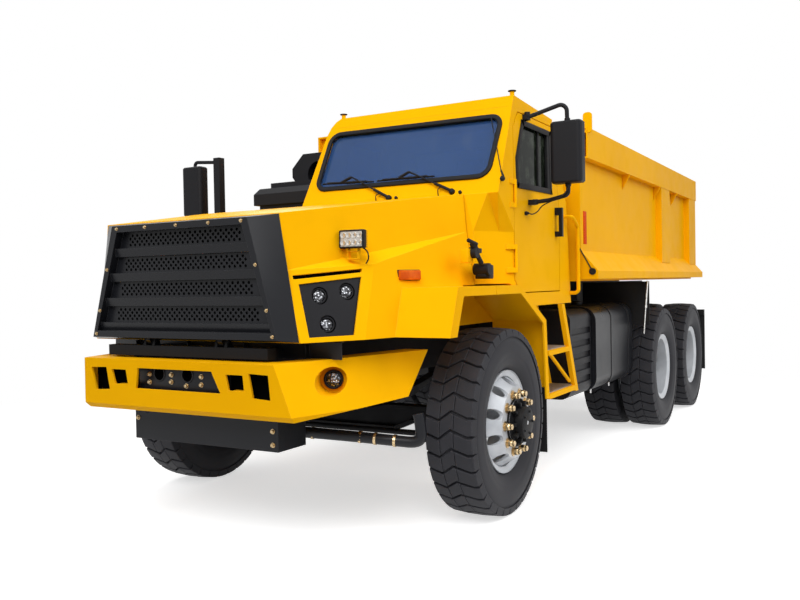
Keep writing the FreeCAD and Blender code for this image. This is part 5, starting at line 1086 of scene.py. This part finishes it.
# --- Splash sheets, a shade sheet and struts ------------------------------
# Black rubber sheets hang ahead of the middle wheels, with a steadying strut of
# bright round bar on each side. A long black sheet along the inside of both pairs
# is painted shade under the bed.
flaps_and_shade, struts = bmesh.new(), bmesh.new()
for side in (1, -1):
    out = side * 1.360
    between_corners(flaps_and_shade, (-0.868, side * 0.78, 0.960), (-0.862, side * 1.372, 1.336), 0.001, 1)
    bar(struts, (-0.856, out, 1.340), (-0.780, out, 1.120), 0.008)
    bar(struts, (-0.780, out, 1.120), (-0.706, out, 0.891), 0.006)
    bar(struts, (-0.784, out, 1.132), (-0.776, out, 1.108), 0.012)
    # Painted shade: a long black sheet along the inside of both wheel pairs, under the bed.
    between_corners(flaps_and_shade, (-3.290, side * 0.716, 1.000), (-0.870, side * 0.722, 1.340), 0.001, 1)
finished("splash_flaps_and_shade", flaps_and_shade, rubber, "chassis")
finished("splash_struts", struts, raw_steel, "chassis")


# --- Bed fittings ---------------------------------------------------------
# Triangular gussets are welded under the bed's upper rail, with a lifting lug at
# its front. A reflector strip is stuck to the left side wall, over a rubber stop.
gussets, strips, stops = bmesh.new(), bmesh.new(), bmesh.new()
for side in (1, -1):
    for along in (-0.45, -1.55, -2.30, -3.00):
        ends = ((side * 1.262, 2.100), (side * 1.262, 2.222), (side * 1.330, 2.222))
        stamp(gussets, plate([(along - 0.006, *end) for end in ends], (0.012, 0, 0), 0.001))
lug_ends = ((1.285, 2.400), (1.350, 2.400), (1.350, 2.545), (1.285, 2.545))
stamp(gussets, plate([(0.664, *end) for end in lug_ends], (0.014, 0, 0), 0.002, 0.024))
finished("bed_gussets", gussets, yellow, "bed")
red_strip, wire = new_finish("red_reflector")
cells = cell_pattern(coordinates(wire), 260.0)
surface(wire, {
    "Base Color": blend_colour(
        between(cells, 0.05, 0.2), (0.50, 0.03, 0.004, 1), (0.85, 0.105, 0.010, 1)),
    "Roughness": between(cells, 0.0, 0.3, 0.55, 0.45),
    "Specular IOR Level": 0.02,
    "Normal": bump(cells, 0.3, 0.001),
})
between_corners(strips, (0.550, 1.259, 1.617), (0.622, 1.264, 1.854), 0.0015)
bar(stops, (0.655, 1.345, 1.418), (0.700, 1.345, 1.418), 0.024, 24)
bar(stops, (0.6895, 1.345, 1.418), (0.6895, 1.250, 1.591), 0.0045)
finished("bed_reflectors", strips, red_strip, "bed")
finished("bed_front_stops", stops, rubber, "bed")


# --- Rear window guard ----------------------------------------------------
# A welded grid of thin rod stands behind the cab's rear window, against stones
# thrown from the bed.
guard_grid = bmesh.new()
rod = 0.0035
for column in range(13):
    across = 0.160 + column * 0.064
    bar(guard_grid, (1.000, across, 1.935), (0.972, across, 2.300), rod, 8)
for row in range(7):
    along, height = 1.000 - row * 0.0046, 1.945 + row * 0.058
    bar(guard_grid, (along, 0.140, height), (along, 0.950, height), rod, 8)
finished("rear_window_guard", guard_grid, yellow, "chassis")


# --- Glass ----------------------------------------------------------------
# The cab's laminated panes are tinted blue and carry a thin film of dust; the
# door's sliding panes are a dark smoked green.
pane, wire = new_finish("pane")
place = coordinates(wire)
film = noise(place, 2.0)
drawn_out = wire.node("Mapping", {}, {"Vector": place, "Scale": (1.0, 1.0, 0.25)})
streaks = noise(drawn_out, 9.0)
colour = blend_colour(between(film, 0.35, 0.7), (0.050, 0.135, 0.370, 1), (0.062, 0.155, 0.400, 1))
colour = blend_colour(between(streaks, 0.62, 0.80) * 0.35, colour, (0.20, 0.28, 0.42, 1))
surface(wire, {
    "Base Color": colour,
    "Roughness": between(film, 0.4, 0.8, 0.01, 0.05),
    "Transmission Weight": 0.60,
    "IOR": 1.35,
})
paint_nodes(pane, "cab_glass")

smoked, wire = new_finish("smoked_pane")
film = noise(coordinates(wire), 14.0, 5.0)
surface(wire, {
    "Base Color": blend_colour(
        between(film, 0.50, 0.72), (0.010, 0.014, 0.009, 1), (0.050, 0.062, 0.045, 1)),
    "Roughness": between(film, 0.4, 0.8, 0.01, 0.06),
    "Transmission Weight": 0.25,
    "IOR": 1.12,
})
paint_nodes(smoked, "door_window")


# --- Seat -----------------------------------------------------------------
# A sprung driver's seat: foam pads in charcoal woven cloth, sewn in channels
# between firmer side rolls, on a black pressed-steel pedestal.
cloth, wire = new_finish("seat_cloth")
place = coordinates(wire)
warp, weft, rise = (banded(place, way, 190.0) for way in "XYZ")
weave = warp * 0.4 + weft * 0.3 + rise * 0.3
clouds = noise(place, 8.0)
colour = blend_colour(between(clouds, 0.3, 0.7), (0.030, 0.031, 0.036, 1), (0.050, 0.051, 0.057, 1))
colour = blend_colour(between(weave, 0.55, 0.80) * 0.5, colour, (0.085, 0.088, 0.100, 1))
surface(wire, {
    "Base Color": colour,
    "Roughness": rough(clouds, 0.80, 0.92),
    "Specular IOR Level": 0.2,
    "Sheen Weight": 0.15,
    "Normal": bump(weave, 0.35, 0.0010),
})
settling_steps = 20
top_from, face_from = 1.64, 1.125
seam_width, seam_depth = 0.009, 0.006
roll_width = 0.050


def settle(piece):
    """Takes what a piece's modifiers make of it as its own mesh."""
    shown = piece.evaluated_get(bpy.context.evaluated_depsgraph_get())
    mesh = bpy.data.meshes.new_from_object(shown)
    piece.modifiers.clear()
    piece.data = mesh


def pad(name, low, high, softness, shaped, most=0.012):
    """A rounded block swollen against its cloth, with its rolls and channels sewn in."""
    block = bmesh.new()
    between_corners(block, low, high, softness, 5)
    piece = finished(name, block, cloth, "chassis")
    remesh = piece.modifiers.new("remesh", "REMESH")
    remesh.mode = "VOXEL"
    remesh.voxel_size = 0.006
    settle(piece)
    starts = [point.co.copy() for point in piece.data.vertices]
    cover = piece.modifiers.new("cover", "CLOTH")
    cover.settings.use_pressure = True
    cover.settings.uniform_pressure_force = 4
    cover.settings.effector_weights.gravity = 0
    for step in range(1, settling_steps + 1):
        bpy.context.scene.frame_set(step)
    settle(piece)
    bpy.context.scene.frame_set(1)
    for point, start in zip(piece.data.vertices, starts):
        move = point.co - start
        if move.length > most:
            point.co = start + move * (most / move.length)
    for point in piece.data.vertices:
        point.co += shaped(point.co)
    smoother = piece.modifiers.new("smooth", "SUBSURF")
    smoother.levels = smoother.render_levels = 1
    settle(piece)
    for face in piece.data.polygons:
        face.use_smooth = True
    return piece


def dip(place, middle, width):
    """1 on a sewn line, falling to 0 at its width."""
    return max(0.0, 1 - ((place - middle) / width) ** 2) ** 2


def cushion_shape(co):
    """Side rolls stand up, three channels run back, and the front edge rolls down."""
    if co.z < top_from:
        return Vector()
    roll = 0.012 * (dip(co.y, 0.415, roll_width) + dip(co.y, 0.785, roll_width))
    seams = sum(dip(co.y, line, seam_width) for line in (0.465, 0.555, 0.645, 0.735))
    front = -0.020 * max(0.0, (co.x - 1.42) / 0.10) ** 2
    return Vector((0, 0, roll - seam_depth * seams + front))


def back_shape(co):
    """The same rolls and channels up the back's face, with a sewn line across it."""
    if co.x < face_from:
        return Vector()
    roll = 0.010 * (dip(co.y, 0.420, roll_width) + dip(co.y, 0.780, roll_width))
    seams = sum(dip(co.y, line, seam_width) for line in (0.470, 0.557, 0.643, 0.730))
    cross = dip(co.z, 1.985, 0.010)
    return Vector((roll - seam_depth * min(1.0, seams + cross), 0, 0))


cushion = pad("seat_cushion", (1.165, 0.372, 1.590), (1.522, 0.828, 1.690), 0.034, cushion_shape)
backrest = pad("seat_back", (1.062, 0.382, 1.712), (1.160, 0.818, 2.078), 0.036, back_shape)
headrest = pad("seat_headrest", (1.060, 0.492, 2.112), (1.112, 0.708, 2.222), 0.022,
               lambda co: Vector(), 0.006)
pedestal = bmesh.new()
between_corners(pedestal, (1.130, 0.400, 1.560), (1.490, 0.800, 1.588), 0.006)
between_corners(pedestal, (1.050, 0.420, 1.600), (1.066, 0.780, 2.060), 0.006)
between_corners(pedestal, (1.060, 0.560, 1.560), (1.165, 0.640, 1.640), 0.006)
for fold in range(5):
    inset = 0.012 * (fold % 2)
    between_corners(pedestal, (1.150 + inset, 0.430 + inset, 1.345 + fold * 0.043),
                    (1.470 - inset, 0.770 - inset, 1.389 + fold * 0.043), 0.012)
between_corners(pedestal, (1.130, 0.410, 1.240), (1.490, 0.790, 1.345), 0.010)
for across in (0.550, 0.650):
    bar(pedestal, (1.086, across, 2.060), (1.086, across, 2.130), 0.006)
pedestal = finished("seat_pedestal", pedestal, black_plastic, "chassis")
for piece in (cushion, backrest, headrest, pedestal):
    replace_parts(piece, "seat")
